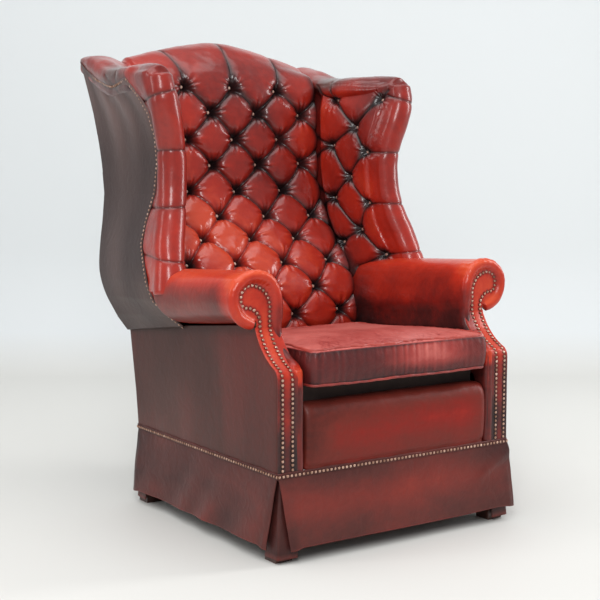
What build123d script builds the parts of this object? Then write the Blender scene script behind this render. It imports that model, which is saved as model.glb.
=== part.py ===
from build123d import *
from math import atan2, degrees, hypot, radians, sin
import os

# High-backed wing armchair with a deep-buttoned back and wings, rolled arms, a loose
# seat cushion and a leather skirt that hangs to just above the floor.
# Millimetres. X runs across the chair, the chair faces -Y, Z is up from the floor.
# The model is drawn about the middle of its seat box and moved at the end, so that
# the origin lies under the middle of the whole chair.

os.makedirs("parts", exist_ok=True)

# Driving sizes
base_width = 650.0
base_depth = 650.0
crest_height = 1182.0
arm_top = 621.0
seat_deck_top = 368.0
cushion_seam_top = 453.0
band_height = 190.0
skirt_clearance = 26.0
arm_wall = 70.0

# Materials' thicknesses
hide_board = 3.0
rail_thickness = 30.0
wing_board_thickness = 25.0
post_depth = 40.0
webbing_thickness = 2.0

# Clearances
touch_gap = 0.3
face_gap = 0.5

half_width = base_width / 2
half_depth = base_depth / 2
front_y = -half_depth
inner_x = half_width - arm_wall
parts = {}


def lerp(low, high, share):
    return low + (high - low) * share


def piecewise(value, xs, ys):
    """The height of the broken line through (xs, ys) at one value."""
    for left, right, low, high in zip(xs, xs[1:], ys, ys[1:]):
        if value <= right:
            return lerp(low, high, (value - left) / (right - left))
    return ys[-1]


def line(start, end):
    return Edge.make_line(start, end)


def arc(start, through, end):
    return Edge.make_three_point_arc(start, through, end)


def polygon(points):
    return Wire.make_polygon(points, close=True)


def loft(wires):
    return Solid.make_loft(wires, ruled=True)


def plate_x(points, low, high):
    """A plate drawn in the side view, from x = low to x = high."""
    return extrude(Face(polygon([(low, y, z) for y, z in points])), high - low, dir=(1, 0, 0))


def bar(x_range, y_range, z_range):
    """A square-edged timber between three pairs of limits."""
    size = [high - low for low, high in (x_range, y_range, z_range)]
    middle = [(high + low) / 2 for low, high in (x_range, y_range, z_range)]
    return Pos(*middle) * Box(*size)


def keep(name, *solids):
    """Remember the solids of one piece under the piece's name."""
    flat = []
    for item in solids:
        flat.extend(item.solids())
    parts[name] = flat


def keep_pair(name, *solids):
    """Keep a piece of the right side (+X) and its mirror image on the left."""
    keep("right_" + name, *solids)
    keep("left_" + name, *[mirror(item, about=Plane.YZ) for item in solids])


# The chair's rear outline in side view, from the rail up to the ends of the crest.
# Heights are shares of the rise from the hip's foot, below the arm, to the crest;
# set-backs are shares of half the base's depth and half widths of half its width.
rail_bottom = band_height + webbing_thickness
rear_z_shares = (-0.2009, -0.1016, -0.0071, 0.0512, 0.1111, 0.171, 0.2246, 0.2987,
                 0.3712, 0.4579, 0.5571, 0.6438, 0.7305, 0.8172, 0.8708)
rear_y_shares = (0.988, 1.022, 1.065, 1.111, 1.2, 1.33, 1.415, 1.45, 1.455, 1.462, 1.468,
                 1.51, 1.545, 1.583, 1.652, 1.698)
rear_x_shares = (1.0, 1.0, 1.0, 1.0, 1.062, 1.083, 1.09, 1.083, 1.065, 1.04, 1.02,
                 1.018, 1.03, 1.05, 1.068, 1.08)
hip_drop = 189.0
hip_foot_z = arm_top - hip_drop


def wing_height(share):
    """A height from its share of the rise from the hip's foot to the crest."""
    return lerp(hip_foot_z, crest_height, share)


rear_zs = [rail_bottom] + [wing_height(share) for share in rear_z_shares]
rear_ys = [share * half_depth for share in rear_y_shares]
rear_xs = [share * half_width for share in rear_x_shares]


def rear_y(z):
    return piecewise(z, rear_zs, rear_ys)


def rear_x(z):
    return piecewise(z, rear_zs, rear_xs)


# Front edge of the arm post in side view: upright, a tight turn, then an S back to the neck
post_turn_z = 394.0
post_turn_rise = 23.0
post_turn_run = 14.0
post_neck_z = 494.0
post_setback = 88.0
post_front_y = front_y + hide_board + touch_gap
neck_y = post_front_y + post_setback
turn_mid_run_share = 0.27
turn_mid_rise_share = 0.587
sweep_mid_run_share = 0.6
sweep_mid_rise_share = 0.41


def post_front_path(shift):
    """Points on the post's S-shaped front edge, moved forward by shift."""
    foot_y = post_front_y - shift
    turn_y = foot_y + post_turn_run
    top_y = neck_y - shift
    turn_z = post_turn_z + post_turn_rise
    corner_y = foot_y + post_turn_run * turn_mid_run_share
    corner_z = post_turn_z + post_turn_rise * turn_mid_rise_share
    curve_y = lerp(turn_y, top_y, sweep_mid_run_share)
    curve_z = lerp(turn_z, post_neck_z, sweep_mid_rise_share)
    return ((foot_y, post_turn_z), (corner_y, corner_z), (turn_y, turn_z), (curve_y, curve_z),
            (top_y, post_neck_z))


def post_front_edges(shift, x):
    """The two arcs of the S, as edges in the plane at x."""
    heel, corner, knee, curve, neck = [(x, y, z) for y, z in post_front_path(shift)]
    return [arc(heel, corner, knee), arc(knee, curve, neck)]


# Seat box: rails, blocks and legs
front_rail_top = 330.0
side_rail_top = 290.0
apron_stuffing = 16.0
post_inset = 7.0
rail_outer_y = front_y + 2 * hide_board + apron_stuffing
post_inner_x = inner_x + post_inset
post_outer_x = half_width - hide_board - touch_gap
post_rear_y = post_front_y + post_depth
back_rail_rear_y = rear_y(rear_zs[0]) - touch_gap
back_rail_front_y = back_rail_rear_y - rail_thickness
block_leg = 55.0
block_drop = 12.0
rear_post_width = 46.0
rear_post_overlap = 3.0
rear_post_outer = inner_x + rear_post_overlap
rear_post_inner = rear_post_outer - rear_post_width

keep("front_rail", bar((-post_inner_x, post_inner_x), (rail_outer_y, rail_outer_y + rail_thickness),
                       (rail_bottom, front_rail_top)))
keep("back_rail", bar((-post_outer_x, post_outer_x), (back_rail_front_y, back_rail_rear_y),
                      (rail_bottom, side_rail_top)))
keep_pair("side_rail", bar((post_outer_x - rail_thickness, post_outer_x), (post_rear_y, back_rail_front_y),
                           (rail_bottom, side_rail_top)))

rail_inner_x = post_outer_x - rail_thickness
block_top = side_rail_top - block_drop


def corner_block(x, y, x_sign, y_sign, leg):
    """A three-cornered glue block in an inside corner of the seat box."""
    points = [(x, y), (x + x_sign * leg, y), (x, y + y_sign * leg)]
    face = Face(polygon([(px, py, rail_bottom) for px, py in points]))
    return extrude(face, block_top - rail_bottom, dir=(0, 0, 1))


front_block_y = rail_outer_y + rail_thickness
rear_block_leg = rail_inner_x - rear_post_outer - face_gap
keep("corner_blocks", *[corner_block(side * x, y, -side, y_sign, leg)
                        for side in (-1, 1)
                        for x, y, y_sign, leg in ((post_inner_x, front_block_y, 1, block_leg),
                                                  (rail_inner_x, back_rail_front_y, -1, rear_block_leg))])

foot_top_size = 46.0
foot_floor_size = 42.0
foot_splay = 12.0
foot_room = 11.0
foot_top_x = half_width - foot_room - foot_top_size / 2
foot_front_y = front_y + foot_room + foot_top_size / 2
foot_rear_y = -foot_front_y


def square(x, y, z, size):
    half = size / 2
    signs = ((-1, -1), (1, -1), (1, 1), (-1, 1))
    return polygon([(x + x_sign * half, y + y_sign * half, z) for x_sign, y_sign in signs])


for end, y, splay in (("front", foot_front_y, 0), ("rear", foot_rear_y, foot_splay)):
    keep_pair(end + "_foot", loft([square(foot_top_x + foot_splay, y + splay, 0, foot_floor_size),
                                   square(foot_top_x, y, rail_bottom, foot_top_size)]))

# Arm posts with the S-shaped front edge
rear_edge_run_share = 0.7
heel, corner, knee, curve, neck = post_front_path(0)
post_edges = [line((post_inner_x, heel[0], rail_bottom), (post_inner_x, heel[0], heel[1]))]
post_edges += post_front_edges(0, post_inner_x)
post_back = [(neck[0], neck[1]),
             (neck[0] + post_depth, neck[1]),
             (neck[0] + post_depth, knee[1] + post_depth * rear_edge_run_share),
             (knee[0] + post_depth, knee[1]),
             (heel[0] + post_depth, heel[1] - post_depth),
             (heel[0] + post_depth, rail_bottom),
             (heel[0], rail_bottom)]
post_edges += [line((post_inner_x, *start), (post_inner_x, *end))
               for start, end in zip(post_back, post_back[1:])]
keep_pair("front_post", extrude(Face(Wire(post_edges)), post_outer_x - post_inner_x, dir=(1, 0, 0)))

# Arm roll section, seen from the front: shares of the roll's width and height,
# measured from its inner lower corner
roll_inner_x = inner_x
roll_width = 139.0
roll_bottom_front = 503.0
roll_fall = 24.0
roll_bottom_fall = 50.0
roll_front_y = neck_y
roll_rear_y = 262.0
roll_corner_shares = ((0.0, 0.0), (0.0, 0.38), (0.5, 1.0), (1.0, 0.54), (0.76, 0.09), (0.5, 0.0))
roll_bulge_shares = ((0.15, 0.86), (0.88, 0.87), (0.95, 0.26))
roll_slope_length = roll_rear_y - roll_front_y


def roll_top(y):
    return arm_top - roll_fall * (y - roll_front_y) / roll_slope_length


def roll_bottom(y):
    return roll_bottom_front - roll_bottom_fall * (y - roll_front_y) / roll_slope_length


def roll_wire(y, grow=0.0, scale=1.0):
    """The arm roll's outline at one y, grown by a clearance or drawn in about its middle."""
    low = roll_bottom(y)
    high = roll_top(y)
    middle_x = roll_inner_x + roll_width / 2
    middle_z = (low + high) / 2

    def place(shares):
        x = roll_inner_x + roll_width * shares[0]
        z = low + (high - low) * shares[1]
        grown_x = scale + grow / (roll_width / 2)
        grown_z = scale + grow / ((high - low) / 2)
        return (middle_x + (x - middle_x) * grown_x, y, middle_z + (z - middle_z) * grown_z)

    corners = [place(shares) for shares in roll_corner_shares]
    bulges = [place(shares) for shares in roll_bulge_shares]
    return Wire([line(corners[0], corners[1]),
                 arc(corners[1], bulges[0], corners[2]),
                 arc(corners[2], bulges[1], corners[3]),
                 arc(corners[3], bulges[2], corners[4]),
                 line(corners[4], corners[5]),
                 line(corners[5], corners[0])])


# Scroll at the front of the arm, seen from the front: a round head on a neck
scroll_width = 88.0
scroll_height = 102.0
scroll_inset_x = 26.0
scroll_inner_x = inner_x + scroll_inset_x
scroll_foot_z = post_neck_z + touch_gap
scroll_board_depth = 24.0
scroll_corner_shares = ((0.0, 0.0), (0.0, 0.36), (0.53, 1.0), (1.0, 0.62), (0.76, 0.37), (0.46, 0.12),
                        (0.46, 0.0))
scroll_bulge_shares = ((0.17, 0.84), (0.9, 0.91), (0.96, 0.44), (0.57, 0.3))


def scroll_place(y, shares):
    """A point of the scroll from its shares of the scroll's width and height."""
    return scroll_inner_x + scroll_width * shares[0], y, scroll_foot_z + scroll_height * shares[1]


def scroll_edges(y, corner_shares, bulge_shares):
    """The open run round the scroll, from the inner side of its neck to the outer side."""
    corners = [scroll_place(y, shares) for shares in corner_shares]
    bulges = [scroll_place(y, shares) for shares in bulge_shares]
    return [line(corners[0], corners[1]),
            arc(corners[1], bulges[0], corners[2]),
            arc(corners[2], bulges[1], corners[3]),
            arc(corners[3], bulges[2], corners[4]),
            arc(corners[4], bulges[3], corners[5]),
            line(corners[5], corners[6])]


def scroll_face(y, inset):
    """The scroll's face at one y, drawn in by an inset (or out, if negative)."""
    closing = line(scroll_place(y, scroll_corner_shares[6]), scroll_place(y, scroll_corner_shares[0]))
    outline = Wire(scroll_edges(y, scroll_corner_shares, scroll_bulge_shares) + [closing])
    return Face(outline if inset == 0 else outline.offset_2d(-inset))


scroll_inset = 5.0
scroll_board_front = neck_y
scroll_board_rear = neck_y + scroll_board_depth
scroll_board = extrude(scroll_face(scroll_board_front, scroll_inset), scroll_board_depth, dir=(0, 1, 0))
keep_pair("scroll_board", scroll_board)

# Timber inside the arm roll, from the scroll board back to the wing
arm_rail_size = 34.0
arm_rail_x_share = 0.44
arm_rail_x = roll_inner_x + roll_width * arm_rail_x_share
arm_rail_share = 0.5
arm_rail_rear_y = roll_rear_y - rail_thickness


def arm_rail_wire(y, grow):
    z = lerp(roll_bottom(y), roll_top(y), arm_rail_share)
    half = arm_rail_size / 2 + grow
    return polygon([(arm_rail_x - half, y, z - half), (arm_rail_x + half, y, z - half),
                    (arm_rail_x + half, y, z + half), (arm_rail_x - half, y, z + half)])


keep_pair("arm_rail", loft([arm_rail_wire(scroll_board_rear + touch_gap, 0),
                            arm_rail_wire(arm_rail_rear_y, 0)]))

# Wing: levels from the hip up to the top roll. Each level is a plane that tips from its
# height at the panel's front edge to its height at the rear edge. Heights are shares of
# the same rise, set-backs shares of half the base's depth, widths of half its width.
wing_front_z_shares = (0.0481, 0.0843, 0.13, 0.1836, 0.2309, 0.2987, 0.3712, 0.4642,
                       0.5571, 0.6391, 0.71, 0.7699, 0.8219)
wing_rear_z_shares = (-0.0008, 0.0512, 0.1111, 0.171, 0.2246, 0.2987, 0.3712, 0.4579,
                      0.5571, 0.6438, 0.7305, 0.8172, 0.8708)
panel_front_x_shares = (1.015, 1.108, 1.185, 1.206, 1.194, 1.163, 1.117, 1.077,
                        1.071, 1.089, 1.126, 1.163, 1.175)
panel_front_y_shares = (0.215, 0.262, 0.354, 0.41, 0.468, 0.569, 0.578, 0.511,
                        0.474, 0.471, 0.502, 0.6, 0.785)
roll_x_shares = (1.0, 1.06, 1.11, 1.114, 1.102, 1.071, 1.022, 0.985,
                 0.972, 1.0, 1.046, 1.077, 1.071)
roll_y_shares = (0.2, 0.22, 0.24, 0.25, 0.271, 0.332, 0.394, 0.437,
                 0.449, 0.431, 0.394, 0.382, 0.42)
roll_radius_shares = (1.08, 1.08, 1.08, 1.08, 1.03, 1.0, 0.97, 0.97,
                      0.97, 1.0, 1.03, 1.03, 0.97)
junction_y_shares = (0.8, 0.8, 0.83, 0.85, 0.862, 0.923, 1.006, 1.083,
                     1.117, 1.126, 1.132, 1.145, 1.185)
wing_roll_radius = 37.0
junction_inset = 7.0
junction_x = inner_x + junction_inset
wing_levels = range(len(wing_front_z_shares))
pad_levels = wing_levels[3:]
board_levels = wing_levels[1:]
board_nose = 12.0
board_tail = 6.0


def wing_point(level, x, y):
    """A point of one tipped level plane."""
    front = panel_front_y_shares[level] * half_depth
    rear = rear_y(wing_height(wing_rear_z_shares[level]))
    share = (y - front) / (rear - front)
    return Vector(x, y, wing_height(lerp(wing_front_z_shares[level], wing_rear_z_shares[level], share)))


def panel_line(level, inset):
    """The outside panel's line at one level, moved inwards: front point, rear point."""
    rear_z = wing_height(wing_rear_z_shares[level])
    front = (panel_front_x_shares[level] * half_width, panel_front_y_shares[level] * half_depth)
    rear = (rear_x(rear_z) + hide_board, rear_y(rear_z) - touch_gap)
    return (front[0] - inset, front[1]), (rear[0] - inset, rear[1])


def along(points, distance):
    """The point a distance along a line, from its first point towards its second."""
    (x0, y0), (x1, y1) = points
    share = distance / hypot(x1 - x0, y1 - y0)
    return lerp(x0, x1, share), lerp(y0, y1, share)


def wing_slab(level, outer_inset, inner_inset, nose, tail):
    """A four-cornered section of the outside panel or of the wing's board."""
    outer = panel_line(level, outer_inset)
    inner = panel_line(level, inner_inset)
    corners = [along(outer, nose), along(outer[::-1], tail), along(inner[::-1], tail),
               along(inner, nose)]
    return polygon([wing_point(level, x, y) for x, y in corners])


wing_panel = loft([wing_slab(level, 0, hide_board, 0, 0) for level in wing_levels])
keep_pair("outside_wing", wing_panel)
board_outer = hide_board + touch_gap
board_inner = board_outer + wing_board_thickness
wing_board = loft([wing_slab(level, board_outer, board_inner, board_nose, board_tail)
                   for level in board_levels])


def wing_pad_wire(level, from_board):
    """The wing pad's section: a round front roll, an inner face and a rebate for the board."""
    cx = roll_x_shares[level] * half_width
    cy = roll_y_shares[level] * half_depth
    radius = roll_radius_shares[level] * wing_roll_radius
    junction_y = junction_y_shares[level] * half_depth
    panel = panel_line(level, 0)
    inner = panel_line(level, board_inner + from_board)
    nose = board_nose - from_board
    rebate = along(inner, nose)
    outer_end = (panel[0][0], panel[0][1] - touch_gap)
    step = (panel_line(level, board_outer)[0][0], outer_end[1])
    heel = along(panel_line(level, board_outer), nose)
    diagonal = radius * sin(radians(45))
    board_share = (junction_y - inner[0][1]) / (inner[1][1] - inner[0][1])
    board_x = lerp(inner[0][0], inner[1][0], board_share)
    flat = [outer_end, (cx + radius, cy), (cx + diagonal, cy - diagonal), (cx, cy - radius),
            (cx - diagonal, cy - diagonal), (cx - radius, cy), (junction_x, junction_y),
            (board_x, junction_y), rebate, heel, step]
    p = [wing_point(level, x, y) for x, y in flat]
    edges = [line(p[0], p[1]), arc(p[1], p[2], p[3]), arc(p[3], p[4], p[5])]
    edges += [line(start, end) for start, end in zip(p[5:], p[6:] + p[:1])]
    return Wire(edges)


wing_pad = loft([wing_pad_wire(level, touch_gap) for level in pad_levels])

# Top roll of the wing, lofted from front to back over the panel's top edge
cap_y_shares = (0.27, 0.34, 0.46, 0.66, 0.91, 1.2, 1.44, 1.6, 1.71)
cap_inner_x_shares = (1.02, 0.95, 0.89, 0.85, 0.82, 0.81, 0.81, 0.81, 0.81)
cap_outer_x_shares = (1.13, 1.175, 1.19, 1.185, 1.175, 1.15, 1.12, 1.1, 1.095)
cap_top_z_shares = (0.8235, 0.8503, 0.8676, 0.8723, 0.8739, 0.8802, 0.9102, 0.9291, 0.9259)
cap_level = wing_levels[-1]


def cap_wire(index):
    y = cap_y_shares[index] * half_depth
    inner = cap_inner_x_shares[index] * half_width
    outer = cap_outer_x_shares[index] * half_width
    start = wing_point(cap_level, outer, y)
    end = wing_point(cap_level, inner, y)
    crown = Vector((inner + outer) / 2, y, wing_height(cap_top_z_shares[index]))
    return Wire([arc(start, crown, end), line(end, start)])


wing_cap = loft([cap_wire(index) for index in range(len(cap_y_shares))])

# Tufted pillows: a rounded diamond that stands on a sunk foot
crease = 1.5
pillow_sink = 16.0
pillow_station_shares = (-0.9, -0.5, -0.12, 0.12, 0.5)
pillow_end_share = 0.9
pillow_steepest_share = 0.8
button_radius = 5.5
button_room = 9.0


def pillow(half_across, half_up, rise, end_share=pillow_end_share):
    """One diamond pillow, drawn flat: X across, Y up the face, Z out of the face.

    An end share under the full one cuts the pillow short on its +X side.
    """
    wires = []
    stations = [share for share in pillow_station_shares if share < end_share - crease / half_across]
    for station in stations + [end_share]:
        x = station * half_across
        half = min(half_up * (1 - abs(station)) - crease, half_up - button_room)
        out = min(rise * (1 - station ** 2), half * pillow_steepest_share)
        corners = [(x, -half, -pillow_sink), (x, -half, 0), (x, half, 0), (x, half, -pillow_sink)]
        wires.append(Wire([line(corners[0], corners[1]), arc(corners[1], (x, 0, out), corners[2]),
                           line(corners[2], corners[3]), line(corners[3], corners[0])]))
    return loft(wires)


# Buttons of the back: one row a line, from the seat up to the crest
row_z_shares = (0.0358, 0.1171, 0.1984, 0.274, 0.3466, 0.4192, 0.5012, 0.5896,
                0.6708, 0.7568, 0.833)
row_y_shares = (0.652, 0.652, 0.683, 0.8, 0.954, 1.077, 1.185, 1.218, 1.218, 1.231, 1.308)
button_pitch_share = 0.5569
button_pitch = inner_x * button_pitch_share
pillow_rise = 30.0
rows = [(y * half_depth, lerp(seat_deck_top, crest_height, z)) for y, z in zip(row_y_shares, row_z_shares)]


def row_buttons(row):
    """The places across of one row's buttons; rows alternate."""
    if row % 2 == 1:
        return [side * button_pitch * step for side, step in ((-1, 1.5), (-1, 0.5), (1, 0.5), (1, 1.5))]
    return [-button_pitch, 0, button_pitch]


def row_pillows(row):
    """The places across of the diamonds whose middles lie on one row."""
    if row % 2 == 1:
        return [-button_pitch, 0, button_pitch]
    return [-button_pitch / 2, button_pitch / 2]


def edge_pillow_x(row):
    """The middle of the cut diamond beside the wing on one row."""
    return button_pitch * (2 if row % 2 == 1 else 1.5)


def row_frame(row):
    """Middle of a row, with the direction up the face between the rows beside it."""
    below = rows[max(row - 1, 0)]
    above = rows[min(row + 1, len(rows) - 1)]
    tilt = degrees(atan2(above[1] - below[1], above[0] - below[0]))
    return rows[row], tilt


# Back pad: the side section is a chain of arcs through the rows, and a crest roll
pad_side_x = inner_x + 6.5
pad_tuck = 20.0
pad_bottom = seat_deck_top - pad_tuck
crest_drop_share = 0.0475
crest_curve_share = 1.55
crest_front_bulge = (14.0, 64.0)
crest_shoulder = (26.0, 112.0)
crest_crown_run = 76.0
crest_rear_run = 122.0
crest_rear_lift = 1.5
crest_mid_shares = (0.4, 0.78)
crest_rear_bulge = (114.0, 118.0)
crest_rail_depth = 62.0
crest_rail_inset = 42.0
crest_rail_share = 0.8213
crest_rail_bottom = wing_height(crest_rail_share)
crest_rail_top_run = 42.0
back_rear_shares = (0.815, 0.9, 0.935, 0.985, 1.085, 1.205, 1.31, 1.345, 1.36, 1.395, 1.45)
pad_station_shares = (-1.0, -0.78, -0.57, -0.38, -0.19, 0.0, 0.19, 0.38, 0.57, 0.78, 1.0)
rear_line = [(share * half_depth, z) for share, (y, z) in zip(back_rear_shares, rows)]


def crest_drop(x):
    return crest_height * crest_drop_share * (abs(x) / pad_side_x) ** crest_curve_share


def back_wire(x):
    """The back pad's side section at one x; the crest is lower towards the wings."""
    drop = crest_drop(x)
    top_row_y, top_row_z = rows[-1]
    crown_z = crest_height - drop
    crest_rear = (x, top_row_y + crest_rear_run, rear_zs[-1] + crest_rear_lift)
    points = [(x, y, z) for y, z in rows]
    foot = (x, rows[0][0], pad_bottom)
    crown = (x, top_row_y + crest_crown_run, crown_z)
    front_bulge = (x, top_row_y - crest_front_bulge[0], top_row_z + crest_front_bulge[1] - drop / 2)
    last_y, last_z = rows[-2]
    rise = button_room / hypot(top_row_y - last_y, top_row_z - last_z)
    pit = (x, top_row_y + (top_row_y - last_y) * rise, top_row_z + (top_row_z - last_z) * rise)
    shoulder = (x, top_row_y + crest_shoulder[0], top_row_z + crest_shoulder[1] - drop)
    shoulder_mid = (x, lerp(shoulder[1], crown[1], crest_mid_shares[0]),
                    lerp(shoulder[2], crown_z, crest_mid_shares[1]))
    rear_mid = (x, top_row_y + crest_rear_bulge[0], top_row_z + crest_rear_bulge[1] - drop)
    rail_rear_y = rear_line[-1][0] + crest_rail_depth + face_gap
    rail_top = crest_rail_bottom + crest_rail_top_run
    edges = [line(foot, points[0])]
    edges += [arc(points[i], points[i + 1], points[i + 2]) for i in range(0, len(points) - 1, 2)]
    edges += [line(points[-1], pit), arc(pit, front_bulge, shoulder)]
    edges += [arc(shoulder, shoulder_mid, crown), arc(crown, rear_mid, crest_rear)]
    back = [crest_rear, (x, rail_rear_y, crest_rear[2]), (x, rail_rear_y, rail_top),
            (x, rear_line[-1][0], rail_top)]
    back += [(x, y, z) for y, z in rear_line[::-1]]
    back += [(x, rear_line[0][0], pad_bottom), foot]
    edges += [line(start, end) for start, end in zip(back, back[1:])]
    return Wire(edges)


back_body = loft([back_wire(share * pad_side_x) for share in pad_station_shares])
edge_clearance = 4.5
edge_x_limit = inner_x - edge_clearance
pillow_solids = []
for row in range(1, len(rows) - 1):
    (row_y, row_z), tilt = row_frame(row)
    below, above = rows[row - 1], rows[row + 1]
    half_up = hypot(above[0] - below[0], above[1] - below[1]) / 2
    diamond = pillow(button_pitch / 2, half_up, pillow_rise)
    for x in row_pillows(row):
        pillow_solids.append(Pos(x, row_y, row_z) * Rot(tilt, 0, 0) * diamond)
    edge_x = edge_pillow_x(row)
    edge_share = (edge_x_limit - edge_x) / (button_pitch / 2)
    edge_diamond = pillow(button_pitch / 2, half_up, pillow_rise, edge_share)
    cut_diamond = Pos(edge_x, row_y, row_z) * Rot(tilt, 0, 0) * edge_diamond
    pillow_solids += [cut_diamond, mirror(cut_diamond, about=Plane.YZ)]
keep("inside_back_pad", back_body.fuse(*pillow_solids))

# Upholstery buttons: low domes on the pad's creases
button_height = 4.0
button_lift = 0.9


def dome(radius, height):
    """A low dome standing on the plane Z = 0."""
    ball_radius = (radius * radius + height * height) / (2 * height)
    ball = Pos(0, 0, height - ball_radius) * Sphere(ball_radius)
    block = Pos(0, 0, height) * Box(4 * ball_radius, 4 * ball_radius, 2 * height)
    return (ball & block).solids()[0]


button = dome(button_radius, button_height)
button_solids = []
for row in range(1, len(rows)):
    (row_y, row_z), tilt = row_frame(row)
    for x in row_buttons(row):
        button_solids.append(Pos(x, row_y, row_z) * Rot(tilt, 0, 0) * Pos(0, 0, button_lift) * button)
keep("back_buttons", *button_solids)

# Tufts of the wing: (height, place from front roll to back, half width, half height),
# as shares of the rise to the crest, the inner face's length and the same rise
wing_tuft_shares = ((0.327, 0.45, 0.2, 0.082), (0.42, 0.45, 0.2, 0.082),
                    (0.5114, 0.74, 0.2, 0.0851), (0.6092, 0.45, 0.22, 0.0788),
                    (0.688, 0.76, 0.2, 0.0788), (0.7825, 0.5, 0.2, 0.0378))
wing_button_shares = ((0.2404, 0.22), (0.3255, 0.74), (0.3263, 0.2), (0.42, 0.14),
                      (0.42, 0.78), (0.5114, 0.44), (0.6092, 0.14), (0.6092, 0.78),
                      (0.688, 0.44), (0.7825, 0.2), (0.7668, 0.76))
wing_pillow_rise = 20.0


def wing_face(z):
    """The straight inner face of the wing pad at one height: front point, rear point."""
    fronts, rears, heights = [], [], []
    for level in pad_levels:
        cx = (roll_x_shares[level] * half_width) - roll_radius_shares[level] * wing_roll_radius
        fronts.append((cx, roll_y_shares[level] * half_depth))
        rears.append((junction_x, junction_y_shares[level] * half_depth))
        heights.append(wing_height(wing_front_z_shares[level]))
    front = [piecewise(z, heights, [point[axis] for point in fronts]) for axis in (0, 1)]
    rear = [piecewise(z, heights, [point[axis] for point in rears]) for axis in (0, 1)]
    return front, rear


def on_wing(z, share, lift):
    """A frame on the wing's inner face, its Z axis pointing at the sitter."""
    front, rear = wing_face(z)
    length = hypot(rear[0] - front[0], rear[1] - front[1])
    ahead = ((rear[0] - front[0]) / length, (rear[1] - front[1]) / length)
    above_front, above_rear = wing_face(z + button_room)
    slope = (lerp(above_front[0], above_rear[0], share) - lerp(front[0], rear[0], share)) / button_room
    x = lerp(front[0], rear[0], share)
    y = lerp(front[1], rear[1], share)
    normal = Vector(-ahead[1], ahead[0], slope).normalized()
    across = Vector(ahead[0], ahead[1], 0)
    return Plane(origin=(x, y, z), x_dir=across, z_dir=normal).offset(lift), length


wing_pillows = []
for z_share, place_share, width_share, height_share in wing_tuft_shares:
    plane, face_length = on_wing(wing_height(z_share), place_share, 0)
    half_rise = height_share * (crest_height - hip_foot_z)
    shape = pillow(width_share * face_length, half_rise, wing_pillow_rise)
    wing_pillows.append(plane.location * shape)
roll_clearance_body = loft([roll_wire(roll_front_y, touch_gap),
                            roll_wire(roll_rear_y + half_depth, touch_gap)])
wing_body = wing_pad.fuse(wing_cap, *wing_pillows).cut(roll_clearance_body)
keep_pair("wing_pad", max(wing_body.solids(), key=lambda solid: solid.volume))
wing_button_lift = 0.95
keep_pair("wing_buttons", *[on_wing(wing_height(z), place, wing_button_lift)[0].location * button
                            for z, place in wing_button_shares])
keep_pair("wing_board", wing_board)

# Arm pads: the roll, and the padded inner face that follows the post's S
pad_skin = post_inner_x - touch_gap - inner_x
roll_nose_reach = 12.0
roll_nose_share = 0.86
roll_end_y = roll_rear_y
roll_body = loft([roll_wire(roll_front_y - roll_nose_reach, 0, roll_nose_share), roll_wire(roll_front_y),
                  roll_wire(roll_end_y)])
scroll_pocket = extrude(scroll_face(roll_front_y - half_depth, -touch_gap),
                        half_depth + scroll_board_depth + touch_gap, dir=(0, 1, 0))
rail_pocket = loft([arm_rail_wire(scroll_board_rear, touch_gap),
                    arm_rail_wire(roll_end_y + rail_thickness, touch_gap)])
board_sweep_out = 90.0


def board_cut_wire(level):
    """The board's section again, with clearance, running outwards past the arm roll."""
    inner = panel_line(level, board_inner + face_gap)
    outer = panel_line(level, -board_sweep_out)
    nose = along(inner, board_nose - face_gap)
    front_outer = (outer[0][0], panel_line(level, 0)[0][1] - face_gap)
    step = (panel_line(level, board_outer + face_gap)[0][0], front_outer[1])
    heel = along(panel_line(level, board_outer + face_gap), board_nose - face_gap)
    corners = [front_outer, (outer[1][0], outer[1][1] + board_tail),
               (inner[1][0], inner[1][1] + board_tail), nose, heel, step]
    return polygon([wing_point(level, x, y) for x, y in corners])


board_cut = loft([board_cut_wire(level) for level in wing_levels[:8]])
inner_panel_edges = [line((inner_x, post_front_path(0)[0][0], pad_bottom),
                          (inner_x, *post_front_path(0)[0]))]
inner_panel_edges += post_front_edges(0, inner_x)
inner_panel_back = [(neck_y, post_neck_z), (neck_y, roll_bottom(neck_y) + pad_skin),
                    (roll_end_y, roll_bottom(roll_end_y) + pad_skin),
                    (roll_end_y, roll_bottom(roll_end_y) - pad_skin), (rows[0][0] - face_gap, pad_bottom),
                    (post_front_path(0)[0][0], pad_bottom)]
inner_panel_edges += [line((inner_x, *start), (inner_x, *end))
                      for start, end in zip(inner_panel_back, inner_panel_back[1:])]
inner_panel = extrude(Face(Wire(inner_panel_edges)), pad_skin, dir=(1, 0, 0))
back_room = loft([back_wire(side * (pad_side_x + touch_gap)) for side in (-1, 1)])
back_clearance = Pos(0, -touch_gap, 0) * back_room
arm_body = roll_body.cut(scroll_pocket, rail_pocket, board_cut).fuse(inner_panel).cut(back_clearance)
keep_pair("arm_pad", max(arm_body.solids(), key=lambda solid: solid.volume))

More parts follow.
